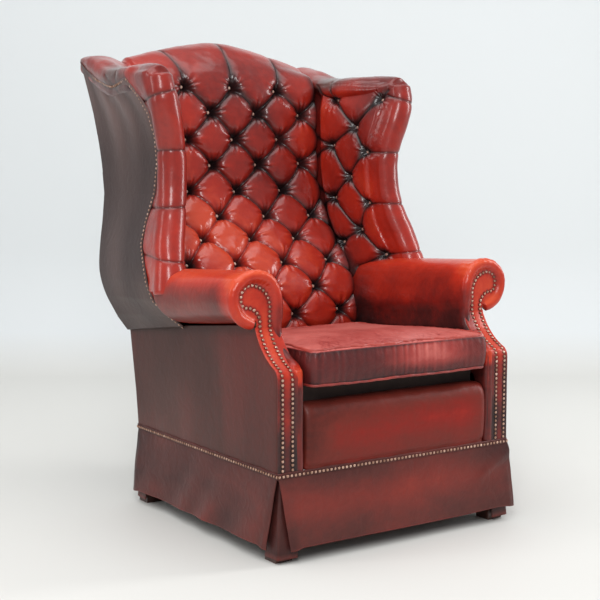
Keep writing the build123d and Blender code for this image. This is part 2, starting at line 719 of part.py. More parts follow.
# Leather facing on the front of the arm, and the outside arm panel behind its edge
facing_top = scroll_foot_z + hide_board
strip_x = post_inner_x
outer_path = [(strip_x, y, z) for y, z in post_front_path(hide_board)]
strip_ends = [(strip_x, neck_y, post_neck_z), (strip_x, neck_y - touch_gap, post_neck_z),
              (strip_x, neck_y - touch_gap, facing_top), (strip_x, neck_y - hide_board, facing_top),
              outer_path[4]]
strip_foot = [outer_path[0], (strip_x, post_front_y - hide_board, rail_bottom),
              (strip_x, post_front_y, rail_bottom), (strip_x, *post_front_path(0)[0])]
facing_strip_edges = post_front_edges(0, strip_x)
facing_strip_edges += [line(start, end) for start, end in zip(strip_ends, strip_ends[1:])]
facing_strip_edges += [arc(outer_path[4], outer_path[3], outer_path[2])]
facing_strip_edges += [arc(outer_path[2], outer_path[1], outer_path[0])]
facing_strip_edges += [line(start, end) for start, end in zip(strip_foot, strip_foot[1:])]
facing_strip = extrude(Face(Wire(facing_strip_edges)), half_width - strip_x, dir=(1, 0, 0))
facing_scroll = extrude(scroll_face(neck_y - hide_board, 0), hide_board - touch_gap, dir=(0, 1, 0))
keep_pair("arm_facing", facing_strip.fuse(facing_scroll))

side_front = post_front_path(0)
side_edges = [line((post_outer_x + touch_gap, side_front[0][0] + face_gap, rail_bottom),
                   (post_outer_x + touch_gap, side_front[0][0] + face_gap, side_front[0][1]))]
side_edges += post_front_edges(-face_gap, post_outer_x + touch_gap)
side_top_gap = 1.0
hip_z = rear_zs[3]
side_back = [(neck_y + face_gap, post_neck_z), (neck_y + face_gap, roll_bottom(neck_y) - side_top_gap),
             (roll_rear_y, roll_bottom(roll_rear_y) - side_top_gap),
             (rear_y(hip_z) - touch_gap, hip_z - side_top_gap)]
side_back += [(rear_ys[i] - touch_gap, rear_zs[i]) for i in (2, 1, 0)]
side_back += [(side_front[0][0] + face_gap, rail_bottom)]
side_edges += [line((post_outer_x + touch_gap, *start), (post_outer_x + touch_gap, *end))
               for start, end in zip(side_back, side_back[1:])]
keep_pair("outside_arm", extrude(Face(Wire(side_edges)), hide_board, dir=(1, 0, 0)))

# Outside back: one sheet of board and hide that follows the rear outline
def rear_wire(z):
    y = rear_y(z)
    x = rear_x(z)
    return polygon([(-x, y, z), (x, y, z), (x, y + hide_board, z), (-x, y + hide_board, z)])


keep("outside_back", loft([rear_wire(z) for z in [rail_bottom] + rear_zs[1:]]))

# Rear posts: sawn timbers between the tufted pad and the outside back
post_lead = webbing_thickness + touch_gap
post_rows = rows[4:]
post_line = [(y + post_lead, z) for (y, z) in rear_line[4:]]
post_back_line = [(min(y + post_depth, rear_y(z) - touch_gap), z) for y, z in post_line]
post_foot = [(back_rail_front_y - post_depth, rail_bottom), (back_rail_front_y, rail_bottom)]
post_knee_z = side_rail_top
post_points = [post_foot[0], (back_rail_front_y - post_depth, post_knee_z)] + post_line[:-1]
post_points += [(post_line[-1][0], crest_rail_bottom - touch_gap),
                (post_back_line[-1][0], crest_rail_bottom - touch_gap)]
post_points += post_back_line[:-1][::-1] + [(back_rail_front_y, post_knee_z), post_foot[1]]
keep_pair("rear_post", plate_x(post_points, rear_post_inner, rear_post_outer))

# Crest rail across the tops of the rear posts
crest_front = rear_line[-1][0] + touch_gap
crest_rail_top = crest_rail_bottom + crest_rail_top_run - touch_gap
keep("crest_rail", bar((-pad_side_x, pad_side_x), (crest_front, crest_front + crest_rail_depth - touch_gap),
                       (crest_rail_bottom, crest_rail_top)))

# Webbing of the back: straps nailed across the front of the rear posts
strap_share = (0.15, 0.85)
straps = []
for start, end in zip(post_line[:-2], post_line[1:-1]):
    low = [lerp(a, b, strap_share[0]) for a, b in zip(start, end)]
    high = [lerp(a, b, strap_share[1]) for a, b in zip(start, end)]
    straps.append(plate_x([tuple(low), tuple(high), (high[0] - webbing_thickness, high[1]),
                           (low[0] - webbing_thickness, low[1])], -rear_post_outer, rear_post_outer))
keep("back_webbing", *straps)

# Seat: webbing straps on the rails, a stuffed deck on them
strap_width = 50.0
strap_y_shares = (0.1, 0.3, 0.5, 0.7, 0.9)
strap_z = side_rail_top
seat_strap_top = strap_z + webbing_thickness
cross_straps = []
for share in strap_y_shares:
    y = lerp(post_rear_y + strap_width, back_rail_front_y - post_depth - strap_width, share)
    cross_straps.append(bar((-post_outer_x, post_outer_x), (y - strap_width / 2, y + strap_width / 2),
                            (strap_z, seat_strap_top)))
keep("seat_webbing", *cross_straps)
deck_front = rail_outer_y + rail_thickness + touch_gap
deck_side = inner_x - touch_gap
deck_back = rows[0][0] - face_gap
keep("seat_deck", bar((-deck_side, deck_side), (deck_front, deck_back), (seat_strap_top, seat_deck_top)))
dust_front = rail_outer_y + rail_thickness
dust_half = post_inner_x - block_leg
keep("dust_cover", bar((-dust_half, dust_half), (dust_front, back_rail_front_y),
                       (rail_bottom, rail_bottom + webbing_thickness)))

# Front apron: a padded face that rolls over the front rail, pressed flat under the band
apron_bulge = 9.0
apron_top_drop = 22.0
apron_lip_drop = 3.0
apron_press = 10.0
apron_side = post_inner_x - touch_gap
apron_top = seat_deck_top - apron_top_drop
apron_front = front_y + hide_board / 2
apron_back = rail_outer_y - touch_gap
apron_roll = 26.0
apron_roll_share = 0.3
lip_z = front_rail_top + touch_gap
apron_points = [(-apron_side, apron_back, rail_bottom), (-apron_side, apron_front, rail_bottom),
                (-apron_side, apron_front, rail_bottom + apron_press),
                (-apron_side, apron_front - apron_bulge, lerp(rail_bottom + apron_press, apron_top, 0.5)),
                (-apron_side, apron_front, apron_top - apron_roll),
                (-apron_side, apron_front + apron_roll * apron_roll_share,
                 apron_top - apron_roll * apron_roll_share),
                (-apron_side, apron_front + apron_roll, apron_top),
                (-apron_side, deck_front - touch_gap, apron_top - apron_lip_drop),
                (-apron_side, deck_front - touch_gap, lip_z), (-apron_side, apron_back, lip_z)]
apron_edges = [line(*apron_points[:2]), line(*apron_points[1:3]), arc(*apron_points[2:5]),
               arc(*apron_points[4:7])]
apron_edges += [line(start, end)
                for start, end in zip(apron_points[6:], apron_points[7:] + apron_points[:1])]
apron = extrude(Face(Wire(apron_edges)), 2 * apron_side, dir=(1, 0, 0))
post_room = bar((inner_x - touch_gap, half_width), (post_front_y - half_depth, deck_front + half_depth),
                (0, crest_height))
keep("front_apron_pad", apron.cut(post_room, mirror(post_room, about=Plane.YZ)))

# Loose seat cushion: bottom and top seams, drawn-in sides and a crowned top
cushion_gap = 2.0
piping_radius = 3.5
cushion_overhang = 18.5
cushion_front = front_y - cushion_overhang
cushion_rear = 160.0
cushion_half = inner_x - cushion_gap - piping_radius
cushion_bottom = seat_deck_top
cushion_seam_rise = 9.0
cushion_seam_bottom = seat_deck_top + cushion_seam_rise
seam_inset = piping_radius + face_gap
corner_radius = 22.0
crown_height = 21.0
cover_thickness = 6.0
cushion_mid_y = (cushion_front + cushion_rear) / 2
cushion_length = cushion_rear - cushion_front
side_z_shares = (0.25, 0.5, 0.75)
crown_z_shares = (0.4, 0.8, 1.0)
cushion_z = [cushion_bottom, cushion_seam_bottom]
cushion_z += [lerp(cushion_seam_bottom, cushion_seam_top, share) for share in side_z_shares]
cushion_z += [cushion_seam_top]
cushion_z += [cushion_seam_top + crown_height * share for share in crown_z_shares]
drawn_in = 6.0
drawn_in_share = 0.7
crown_inset_shares = (0.09, 0.3, 0.6)
cushion_inset = [seam_inset + drawn_in * 2, seam_inset, seam_inset + drawn_in * drawn_in_share,
                 seam_inset + drawn_in, seam_inset + drawn_in * drawn_in_share, seam_inset]
cushion_inset += [seam_inset + share * cushion_half for share in crown_inset_shares]


def cushion_wire(z, inset):
    """A rectangle with rounded corners, drawn in from the seam's line."""
    radius = max(corner_radius - inset, corner_radius / 3)
    outline = RectangleRounded(2 * (cushion_half - inset), cushion_length - 2 * inset, radius)
    return (Pos(0, cushion_mid_y, z) * outline).face().outer_wire()


def cushion_body(shrink):
    heights = [z + shrink if z < cushion_z[3] else z - shrink for z in cushion_z]
    return loft([cushion_wire(z, inset + shrink) for z, inset in zip(heights, cushion_inset)])


keep("seat_cushion_cover", cushion_body(0).cut(cushion_body(cover_thickness)))
keep("seat_cushion_filling", cushion_body(cover_thickness + touch_gap))
piping_loops = []
for z in (cushion_seam_bottom, cushion_seam_top):
    path = cushion_wire(z, 0)
    start = path @ 0
    section = Plane(origin=start, z_dir=path % 0) * Circle(piping_radius)
    piping_loops.append(sweep(section.face(), path))
keep("seat_cushion_piping", *piping_loops)

# Skirt: four hanging panels that flare, lift a little at mid span and wave along the hem
skirt_thickness = 3.0
skirt_straight = 8.0
skirt_flare = 18.0
skirt_end_draw = 10.0
hem_wave = 5.0
skirt_top = rail_bottom - touch_gap
skirt_station_shares = (-1.0, -0.82, -0.6, -0.3, 0.0, 0.25, 0.55, 0.8, 1.0)
hem_wave_shares = (0.0, 0.8, -0.4, 0.6, -0.3, 0.5, -0.5, 0.7, 0.0)
hem_lift_shares = (0.0, 0.4, 0.7, 0.9, 1.0, 0.9, 0.7, 0.4, 0.0)
hem_lift = 8.0


def skirt_panel(half_span, reach):
    """A panel drawn along X, its outer face at y = -reach at the top, its ends cut on the slant."""
    wires = []
    straight_z = skirt_top - skirt_straight
    for station, wave, lift in zip(skirt_station_shares, hem_wave_shares, hem_lift_shares):
        x = station * half_span
        hem_y = -(reach + skirt_flare + hem_wave * wave)
        hem_z = skirt_clearance + hem_lift * lift
        outer = [(x, -reach, skirt_top), (x, -reach, straight_z), (x, hem_y, hem_z)]
        inner = [(x, y + skirt_thickness, z) for x, y, z in outer[::-1]]
        wires.append(polygon(outer + inner))
    panel = loft(wires)
    for side in (-1, 1):
        corners = [(side * half_span, straight_z), (side * (half_span - skirt_end_draw), 0),
                   (side * (half_span + skirt_flare), 0), (side * (half_span + skirt_flare), straight_z)]
        wedge = Face(polygon([(x, -2 * reach, z) for x, z in corners]))
        panel = panel.cut(extrude(wedge, 2 * reach, dir=(0, 1, 0)))
    return panel


skirt_mitre = skirt_thickness + face_gap
front_skirt = skirt_panel(half_width, half_depth)
keep("front_skirt", front_skirt)
rear_skirt_reach = rear_y(rail_bottom) + hide_board
keep("rear_skirt", Rot(0, 0, 180) * skirt_panel(half_width, rear_skirt_reach))
side_skirt = Rot(0, 0, 90) * skirt_panel(min(half_depth, rear_skirt_reach) - skirt_mitre, half_width)
keep_pair("side_skirt", side_skirt)

# Kick pleats: folded hide behind the gap at each corner, reaching nearer the floor
pleat_reach = 58.0
pleat_floor = 9.0
pleat_back_off = 2 * skirt_thickness + face_gap


def pleat_wire(z, out):
    edge_x = half_width - pleat_back_off + out
    edge_y = half_depth - pleat_back_off + out
    inner_edge_x = edge_x - skirt_thickness
    inner_edge_y = edge_y - skirt_thickness
    return polygon([(edge_x - pleat_reach, -edge_y, z), (edge_x, -edge_y, z),
                    (edge_x, -edge_y + pleat_reach, z), (inner_edge_x, -edge_y + pleat_reach, z),
                    (inner_edge_x, -inner_edge_y, z), (edge_x - pleat_reach, -inner_edge_y, z)])


front_pleat = loft([pleat_wire(pleat_floor, skirt_flare - hem_wave), pleat_wire(skirt_top, 0)])
rear_pleat = mirror(front_pleat, about=Plane.XZ)
keep("corner_pleats", front_pleat, rear_pleat, mirror(front_pleat, about=Plane.YZ),
     mirror(rear_pleat, about=Plane.YZ))

# Narrow band over the skirt's top edge
band_drop = 6.0
band_rise = 8.0
band_thickness = 2.0
band_inner = half_width + touch_gap
band_rear = rear_y(band_height + band_rise) + hide_board + touch_gap


def band_wire(z, inset):
    x = band_inner + band_thickness - inset
    front = -(half_depth + touch_gap + band_thickness - inset)
    rear = band_rear + band_thickness - inset
    return polygon([(-x, front, z), (x, front, z), (x, rear, z), (-x, rear, z)])


band_low = band_height - band_drop
band_high = band_height + band_rise
band_core = loft([band_wire(band_low - band_drop, band_thickness),
                  band_wire(band_high + band_drop, band_thickness)])
keep("skirt_band", loft([band_wire(band_low, 0), band_wire(band_high, 0)]).cut(band_core))

# Dome-headed nails: along the band, round each arm facing and up each wing
nail_radius = 3.6
nail_height = 2.4
nail_pitch = 10.2
nail_gap = 0.15
nail = dome(nail_radius, nail_height)


def nails_along(points, normals, lift=nail_gap, first_room=0.0, last_room=0.0):
    """Nails at the pitch along a broken line, each square to the face at its place.

    The first and the last nail stand off the line's ends by their rooms.
    """
    lengths = [0.0]
    for start, end in zip(points, points[1:]):
        lengths.append(lengths[-1] + (Vector(*end) - Vector(*start)).length)
    run = lengths[-1] - first_room - last_room
    count = round(run / nail_pitch)
    heads = []
    for index in range(count + 1):
        distance = first_room + run * index / count
        place, out = [Vector(*[piecewise(distance, lengths, [row[axis] for row in table])
                               for axis in range(3)]) for table in (points, normals)]
        plane = Plane(origin=place, z_dir=out).offset(lift)
        heads.append(plane.location * nail)
    return heads


band_x = band_inner + band_thickness
band_front = half_depth + touch_gap + band_thickness
band_nails = nails_along([(-band_x + nail_radius, -band_front, band_height),
                          (band_x - nail_radius, -band_front, band_height)], [(0, -1, 0)] * 2)
side_nails = nails_along([(band_x, -band_front + nail_radius, band_height),
                          (band_x, band_rear - nail_radius, band_height)], [(1, 0, 0)] * 2)
keep("skirt_nails", *band_nails, *side_nails, *[mirror(item, about=Plane.YZ) for item in side_nails])

# The facing's nails go up the inner edge of the S, round the scroll and down the outer edge
loop_corner_shares = ((0.09, 0.0), (0.09, 0.36), (0.53, 0.92), (0.91, 0.62), (0.72, 0.455),
                      (0.375, 0.16), (0.375, 0.0))
loop_bulge_shares = ((0.25, 0.79), (0.83, 0.85), (0.865, 0.5), (0.5, 0.375))
sample_shares = [index / 6 for index in range(7)]


def sampled(edge):
    """Points along an arc, or the two ends of a line."""
    shares = sample_shares if edge.geom_type == GeomType.CIRCLE else (0, 1)
    return [tuple(edge @ share) for share in shares]


s_points = [(0, post_front_y - hide_board, band_height + band_rise + nail_radius),
            (0, post_front_y - hide_board, post_turn_z)]
s_normals = [(0, -1, 0)] * 2
for edge in post_front_edges(hide_board, 0):
    for share in sample_shares:
        ahead = edge % share
        s_points.append(tuple(edge @ share))
        s_normals.append((0, -ahead.Z, ahead.Y))
loop_points = []
for edge in scroll_edges(neck_y - hide_board, loop_corner_shares, loop_bulge_shares):
    loop_points += sampled(edge)
inner_nail_x = loop_points[0][0]
outer_nail_x = loop_points[-1][0]
facing_nail_lift = 0.3
neck_room = nail_pitch / 2
loop_normals = [(0, -1, 0)] * len(loop_points)
facing_nails = nails_along(loop_points, loop_normals, facing_nail_lift, neck_room, neck_room)
for nail_x in (inner_nail_x, outer_nail_x):
    column = [(nail_x, y, z) for _, y, z in s_points]
    facing_nails += nails_along(column, s_normals, facing_nail_lift, 0.0, neck_room)
keep_pair("facing_nails", *facing_nails)

# The wing's nails follow the front and top edges of the outside panel
wing_nail_inset = 6.0
wing_nail_lift = 0.8


def panel_normal(level, rear_end):
    """Square to the outside panel, near its front or its rear end."""
    beside = min(level + 1, cap_level)
    below = max(level - 1, 0)
    ends = [[wing_point(step, *point) for point in panel_line(step, 0)] for step in (below, beside)]
    up = ends[1][rear_end] - ends[0][rear_end]
    back = ends[1][1] - ends[1][0]
    return tuple(back.cross(up).normalized())


def nail_place(level, way):
    """A nail's place beside the panel's front end (way 1) or rear end (way -1)."""
    return wing_point(level, *along(panel_line(level, 0)[::way], wing_nail_inset))


def top_nail_place(way):
    """The same, but drawn down the panel from its top edge."""
    place, below = nail_place(cap_level, way), nail_place(cap_level - 1, way)
    return place + (below - place) * (wing_nail_inset / (place.Z - below.Z))


wing_path = [tuple(nail_place(level, 1)) for level in wing_levels if level != cap_level]
wing_normals = [panel_normal(level, 0) for level in wing_levels if level != cap_level]
wing_path += [tuple(top_nail_place(1)), tuple(top_nail_place(-1))]
wing_normals += [panel_normal(cap_level, 0), panel_normal(cap_level, 1)]
keep_pair("wing_nails", *nails_along(wing_path, wing_normals, wing_nail_lift))

# Move the chair so that the origin lies under the middle of its depth, and write the pieces
skirt_reach = half_depth + skirt_flare + hem_wave * max(hem_wave_shares)
front_reach = max(piping_radius - cushion_front, skirt_reach)
rear_reach = max(max(rear_ys) + hide_board, cap_y_shares[-1] * half_depth)
chair_shift = (front_reach - rear_reach) / 2
for name, solids in parts.items():
    moved = [Pos(0, chair_shift, 0) * solid for solid in solids]
    shape = moved[0] if len(moved) == 1 else Compound(children=moved)
    export_step(shape, os.path.join("parts", name + ".step"))
    print(name, len(moved))
print("chair shift", round(chair_shift, 2))
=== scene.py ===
# %% [markdown]
# # A buttoned leather wing armchair
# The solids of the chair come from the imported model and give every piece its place. This
# file dresses them: the padded and hanging leather is built again as soft meshes over the
# solids, and the timber, webbing and nails get their finishes. Everything is in metres.

# %% Load the frame
from math import cos, pi, radians, sin

import bpy
import numpy as np
from mathutils import Euler, Matrix, Vector
from mathutils.bvhtree import BVHTree
from mathutils.kdtree import KDTree


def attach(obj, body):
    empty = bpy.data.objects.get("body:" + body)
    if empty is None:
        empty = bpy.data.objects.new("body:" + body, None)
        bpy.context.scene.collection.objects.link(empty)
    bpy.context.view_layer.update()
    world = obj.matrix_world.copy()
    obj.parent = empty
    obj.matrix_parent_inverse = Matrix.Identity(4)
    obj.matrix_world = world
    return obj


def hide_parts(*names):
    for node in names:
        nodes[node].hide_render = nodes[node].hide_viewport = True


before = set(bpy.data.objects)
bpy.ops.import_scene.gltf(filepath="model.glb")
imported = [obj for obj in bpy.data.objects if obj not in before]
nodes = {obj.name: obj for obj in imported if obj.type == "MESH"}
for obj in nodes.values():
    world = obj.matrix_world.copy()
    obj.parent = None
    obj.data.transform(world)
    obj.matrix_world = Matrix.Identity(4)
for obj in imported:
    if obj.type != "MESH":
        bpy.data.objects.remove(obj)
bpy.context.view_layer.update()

# %% [markdown]
# The chair was drawn about the middle of its seat box and then moved back, so that the
# origin lies under the middle of the whole chair. All soft pieces here are first worked
# out about the seat box as well, because both sides mirror there, and moved at the end.

# %% Where the seat box stands
chair_shift = -0.1044
arm_inner = 0.255
rng = np.random.default_rng(7)

# %% [markdown]
# A photographed chair has no ruler in the picture, but straight seams that are level and
# square in the real chair meet at vanishing points. They give the lens and the direction
# of the view, and the camera below stands where those lines say.

# %% Camera
view_turn = radians(-34.04)
view_down = radians(5.8)
camera_place = (-1.7229, -2.4759 + chair_shift, 0.8252)
camera_data = bpy.data.cameras.new("camera")
camera_data.sensor_width = 36.0
camera_data.lens = 74.77
camera = bpy.data.objects.new("camera", camera_data)
bpy.context.scene.collection.objects.link(camera)
camera.location = camera_place
camera.rotation_euler = Euler((pi / 2 - view_down, 0, view_turn), "XYZ")
camera_data.clip_end = 50
bpy.context.scene.camera = camera
bpy.context.scene.view_settings.view_transform = "Standard"
print("camera at", [round(v, 2) for v in camera_place])

# %% [markdown]
# Leather is lit by large soft lamps, as in a photographer's studio: one big panel in front
# and to the left, a weaker one on the right, one overhead. Long soft lamps draw the long
# soft highlights on the rolls. The floor and the wall are one pale sweep.

# %% Studio floor and wall
floor_front, wall_foot, wall_top, sweep_half = -4.0, 1.9, 4.5, 6.0
sweep_radius = 0.5
sweep_points = [(floor_front, 0.0), (wall_foot, 0.0)]
sweep_points += [(wall_foot + sweep_radius * sin(a), sweep_radius * (1 - cos(a)))
                 for a in np.linspace(0.1, pi / 2, 12)]
sweep_points += [(wall_foot + sweep_radius, wall_top)]
sweep_verts = [(x, y, z) for y, z in sweep_points for x in (-sweep_half, sweep_half)]
sweep_faces = [(2 * i, 2 * i + 1, 2 * i + 3, 2 * i + 2) for i in range(len(sweep_points) - 1)]
sweep_mesh = bpy.data.meshes.new("studio_sweep")
sweep_mesh.from_pydata(sweep_verts, [], sweep_faces)
sweep_mesh.polygons.foreach_set("use_smooth", [True] * len(sweep_faces))
studio = bpy.data.objects.new("studio_sweep", sweep_mesh)
bpy.context.scene.collection.objects.link(studio)
studio.rotation_euler = (0, 0, view_turn)
print("sweep rows:", len(sweep_points))


# %% Lamps and sky
def soft_lamp(name, place, aim, size, power, tint=(1, 1, 1)):
    """A rectangular lamp of size metres that looks at a point."""
    data = bpy.data.lights.new(name, "AREA")
    data.shape = "RECTANGLE"
    data.size, data.size_y = size
    data.energy = power
    data.color = tint
    lamp = bpy.data.objects.new(name, data)
    bpy.context.scene.collection.objects.link(lamp)
    lamp.location = place
    lamp.rotation_euler = (Vector(aim) - Vector(place)).to_track_quat("-Z", "Y").to_euler()
    return lamp


soft_lamp("front_panel", (-1.9, -2.6, 2.3), (0, 0, 0.7), (0.85, 1.6), 54)
soft_lamp("right_panel", (2.6, -1.2, 1.6), (0, 0, 0.6), (0.6, 1.8), 33)
soft_lamp("overhead", (-0.6, -0.4, 4.0), (-0.2, 0, 0.5), (4.0, 3.2), 88)
soft_lamp("left_strip", (-2.8, 0.6, 1.5), (0, 0, 0.7), (0.6, 2.0), 14)

world = bpy.data.worlds.new("studio_air")
bpy.context.scene.world = world
world.use_nodes = True
sky = world.node_tree.nodes["Background"]
sky.inputs["Color"].default_value = (0.97, 0.98, 1.0, 1)
sky.inputs["Strength"].default_value = 0.45
print("lamps:", len(bpy.data.lights))

# %% [markdown]
# The whole look rests on one kind of finish: an antiqued hide. A red hide is rubbed over
# with a dark glaze, which stays in the creases and wears off where people touch. So the
# material asks each point how exposed it is. That answer is worked out in the mesh code
# and stored on the mesh as a number called wear_and_shading, from 0 in a crease to 1 on a
# crown. In some places the mesh code also adds painted shade and painted highlights to it.


# %% A small kit for shader nodes
class Nodes:
    """Makes a material's node tree with short calls."""

    def __init__(self, name):
        self.material = bpy.data.materials.new(name)
        self.material.use_nodes = True
        self.tree = self.material.node_tree
        self.shader = self.tree.nodes["Principled BSDF"]

    def add(self, kind, **settings):
        node = self.tree.nodes.new(kind)
        for key, value in settings.items():
            if hasattr(node, key):
                setattr(node, key, value)
            else:
                node.inputs[key.replace("_", " ")].default_value = value
        return node

    def link(self, out, into):
        self.tree.links.new(out, into)

    def on_piece(self, texture, output, stretch):
        """What a texture gives on the piece's own coordinates, stretched if asked."""
        place = self.add("ShaderNodeTexCoord")
        mapping = self.add("ShaderNodeMapping")
        mapping.inputs["Scale"].default_value = stretch
        self.link(place.outputs["Object"], mapping.inputs["Vector"])
        self.link(mapping.outputs["Vector"], texture.inputs["Vector"])
        return texture.outputs[output]

    def noise(self, scale, detail=4.0, rough=0.6, distortion=0.0, stretch=(1, 1, 1)):
        """Cloudy noise from 0 to 1."""
        texture = self.add("ShaderNodeTexNoise", Scale=scale, Detail=detail, Roughness=rough,
                           Distortion=distortion)
        return self.on_piece(texture, "Fac", stretch)

    def cells(self, scale, stretch=(1, 1, 1)):
        """Pebbled cells, for pores and grain: the distance from each cell's edge."""
        texture = self.add("ShaderNodeTexVoronoi", feature="DISTANCE_TO_EDGE", Scale=scale)
        return self.on_piece(texture, "Distance", stretch)

    def math(self, operation, a, b=0.0, clamp=False):
        """One sum; a and b are numbers or the outputs of other nodes."""
        node = self.add("ShaderNodeMath", operation=operation, use_clamp=clamp)
        for socket, value in zip(node.inputs, (a, b)):
            if isinstance(value, (int, float)):
                socket.default_value = value
            else:
                self.link(value, socket)
        return node.outputs[0]

    def swing(self, value, strength):
        """Turns a value from 0 to 1 into one that swings about zero."""
        return self.math("MULTIPLY", self.math("SUBTRACT", value, 0.5), strength)

    def ramp(self, value, stops):
        """A colour ramp: stops are (position, colour)."""
        node = self.add("ShaderNodeValToRGB")
        elements = node.color_ramp.elements
        while len(elements) < len(stops):
            elements.new(0.5)
        for element, (position, colour) in zip(elements, stops):
            element.position = position
            element.color = (*colour, 1)
        self.link(value, node.inputs["Fac"])
        return node.outputs["Color"]

    def bump(self, layers):
        """Chains bump nodes: layers are (height output, strength, distance in metres)."""
        normal = None
        for height, strength, distance in layers:
            node = self.add("ShaderNodeBump", Strength=strength, Distance=distance)
            self.link(height, node.inputs["Height"])
            if normal is not None:
                self.link(normal, node.inputs["Normal"])
            normal = node.outputs["Normal"]
        self.link(normal, self.shader.inputs["Normal"])

    def wear_and_shading(self):
        """How exposed a point is, with the painted shade and highlights added in places: the number that the
        mesh code stored.
        """
        return self.add("ShaderNodeAttribute", attribute_name="wear_and_shading").outputs["Fac"]

    def dusted_and_sheened(self, colour, dust_and_sheen_colour, cloud):
        """Lays dust, and on the outside wings a painted sheen, over a colour where the mesh code stored it,
        broken up by a cloud.
        """
        amount = self.add("ShaderNodeAttribute", attribute_name="dust_and_sheen").outputs["Fac"]
        patches = self.math("ADD", self.math("MULTIPLY", cloud, 1.6), 0.2)
        amount = self.math("MULTIPLY", amount, patches, clamp=True)
        mix = self.add("ShaderNodeMix", data_type="RGBA")
        self.link(amount, mix.inputs["Factor"])
        self.link(colour, mix.inputs["A"])
        mix.inputs["B"].default_value = (*dust_and_sheen_colour, 1)
        return mix.outputs["Result"]


# %% [markdown]
# Hide shows three scales of relief. Pores are under a millimetre, fine wrinkles a few
# millimetres, and slow swellings several centimetres. The glaze breaks up along the last
# two, so the same noise that bends the surface also shifts the colour.


# %% Antiqued hide
# A grey mauve laid where dust lies; on the outside wings it is also a painted sheen of the light.
hide_dust_and_sheen = (0.150, 0.084, 0.072)
pore_scale, crackle_scale, wrinkle_scale, scuff_scale = 520.0, 130.0, 28.0, 60.0
coat_roughness = 0.17


def antique_hide(name, stops, roughness=0.34, rough_spread=0.16, blotch=0.3, blotch_scale=7.0,
                 streak=(1, 1, 1), pores=0.25, wrinkles=0.3, coat=0.22, shine=0.5):
    """Two-tone glazed leather; stops run from the crease's colour to the rubbed crown's."""
    n = Nodes(name)
    cloud = n.noise(blotch_scale, 5.0, 0.62, 0.6, streak)
    fine = n.noise(scuff_scale, 4.0, 0.65, 0.3)
    shift = n.math("ADD", n.swing(cloud, 2.0 * blotch), n.swing(fine, 0.22))
    tone = n.math("ADD", n.wear_and_shading(), shift, clamp=True)
    n.link(n.dusted_and_sheened(n.ramp(tone, stops), hide_dust_and_sheen, cloud), n.shader.inputs["Base Color"])
    polish = n.math("ADD", n.math("MULTIPLY", n.math("SUBTRACT", 0.75, tone), rough_spread), roughness)
    polish = n.math("ADD", polish, n.swing(fine, 0.12), clamp=True)
    n.link(polish, n.shader.inputs["Roughness"])
    n.shader.inputs["Specular IOR Level"].default_value = shine
    n.shader.inputs["Coat Weight"].default_value = coat
    n.shader.inputs["Coat Roughness"].default_value = coat_roughness
    pore = n.cells(pore_scale)
    crackle = n.cells(crackle_scale, stretch=(1, 1, 1.3))
    n.bump([(n.noise(wrinkle_scale, 3.0, 0.55, 1.2), wrinkles, 0.004),
            (n.math("MINIMUM", crackle, 0.12), 0.22 + 0.2 * wrinkles, 0.0016),
            (n.math("MINIMUM", pore, 0.1), pores, 0.0008)])
    return n.material


deep_plum = (0.010, 0.003, 0.0035)
dark_ox = (0.052, 0.0085, 0.008)
ox_red = (0.165, 0.0105, 0.0075)
bright_red = (0.37, 0.020, 0.009)
worn_orange = (0.52, 0.052, 0.019)

buttoned_hide = antique_hide(
    "buttoned_hide",
    [(0.0, deep_plum), (0.2, dark_ox), (0.47, ox_red),
     (0.8, bright_red), (1.0, worn_orange)],
    coat=0.66, shine=0.22)
arm_hide = antique_hide(
    "arm_hide",
    [(0.0, deep_plum), (0.2, dark_ox), (0.42, (0.19, 0.012, 0.008)),
     (0.72, (0.46, 0.027, 0.011)), (1.0, (0.64, 0.075, 0.026))],
    blotch=0.34, blotch_scale=5.0, coat=0.26, shine=0.24)
apron_hide = antique_hide(
    "apron_hide",
    [(0.0, (0.05, 0.012, 0.009)), (0.3, (0.155, 0.021, 0.014)),
     (0.6, (0.25, 0.013, 0.008)), (1.0, (0.48, 0.024, 0.010))],
    blotch=0.5, blotch_scale=5.0, streak=(0.45, 1, 1.5), coat=0.04, shine=0.2)
# The seat hide's palest stop is the pale pink of the painted highlight on the cushion's top.
seat_hide = antique_hide(
    "seat_hide",
    [(0.0, (0.022, 0.005, 0.006)), (0.35, (0.11, 0.012, 0.011)),
     (0.7, (0.34, 0.044, 0.037)), (1.0, (0.64, 0.165, 0.140))],
    roughness=0.4, blotch=0.26, blotch_scale=6.0, wrinkles=0.55, coat=0.1, shine=0.34)
outside_hide = antique_hide(
    "outside_hide",
    [(0.0, (0.026, 0.0115, 0.0105)), (0.4, (0.062, 0.034, 0.031)),
     (0.75, (0.120, 0.074, 0.070)), (1.0, (0.205, 0.145, 0.140))],
    roughness=0.40, blotch=0.24, blotch_scale=3.2, streak=(1, 1, 0.5),
    wrinkles=0.3, coat=0.06, shine=0.4)
skirt_hide = antique_hide(
    "skirt_hide",
    [(0.0, (0.022, 0.006, 0.006)), (0.4, (0.092, 0.020, 0.016)),
     (0.75, (0.185, 0.025, 0.018)), (1.0, (0.29, 0.031, 0.018))],
    roughness=0.36, blotch=0.46, blotch_scale=4.5, streak=(0.6, 0.6, 1.2),
    wrinkles=0.5, coat=0.10, shine=0.26)
piping_hide = antique_hide(
    "piping_hide",
    [(0.0, dark_ox), (0.5, (0.20, 0.018, 0.014)),
     (1.0, (0.42, 0.06, 0.045))],
    roughness=0.4, blotch=0.4, blotch_scale=14.0, coat=0.08)
print("hides:", len(bpy.data.materials))

# %% [markdown]
# Every soft piece here starts as a grid or a closed outline of points in numpy and turns
# into a mesh at the end. Numpy moves a hundred thousand points in one line, which a loop
# over mesh vertices can't do in reasonable time.


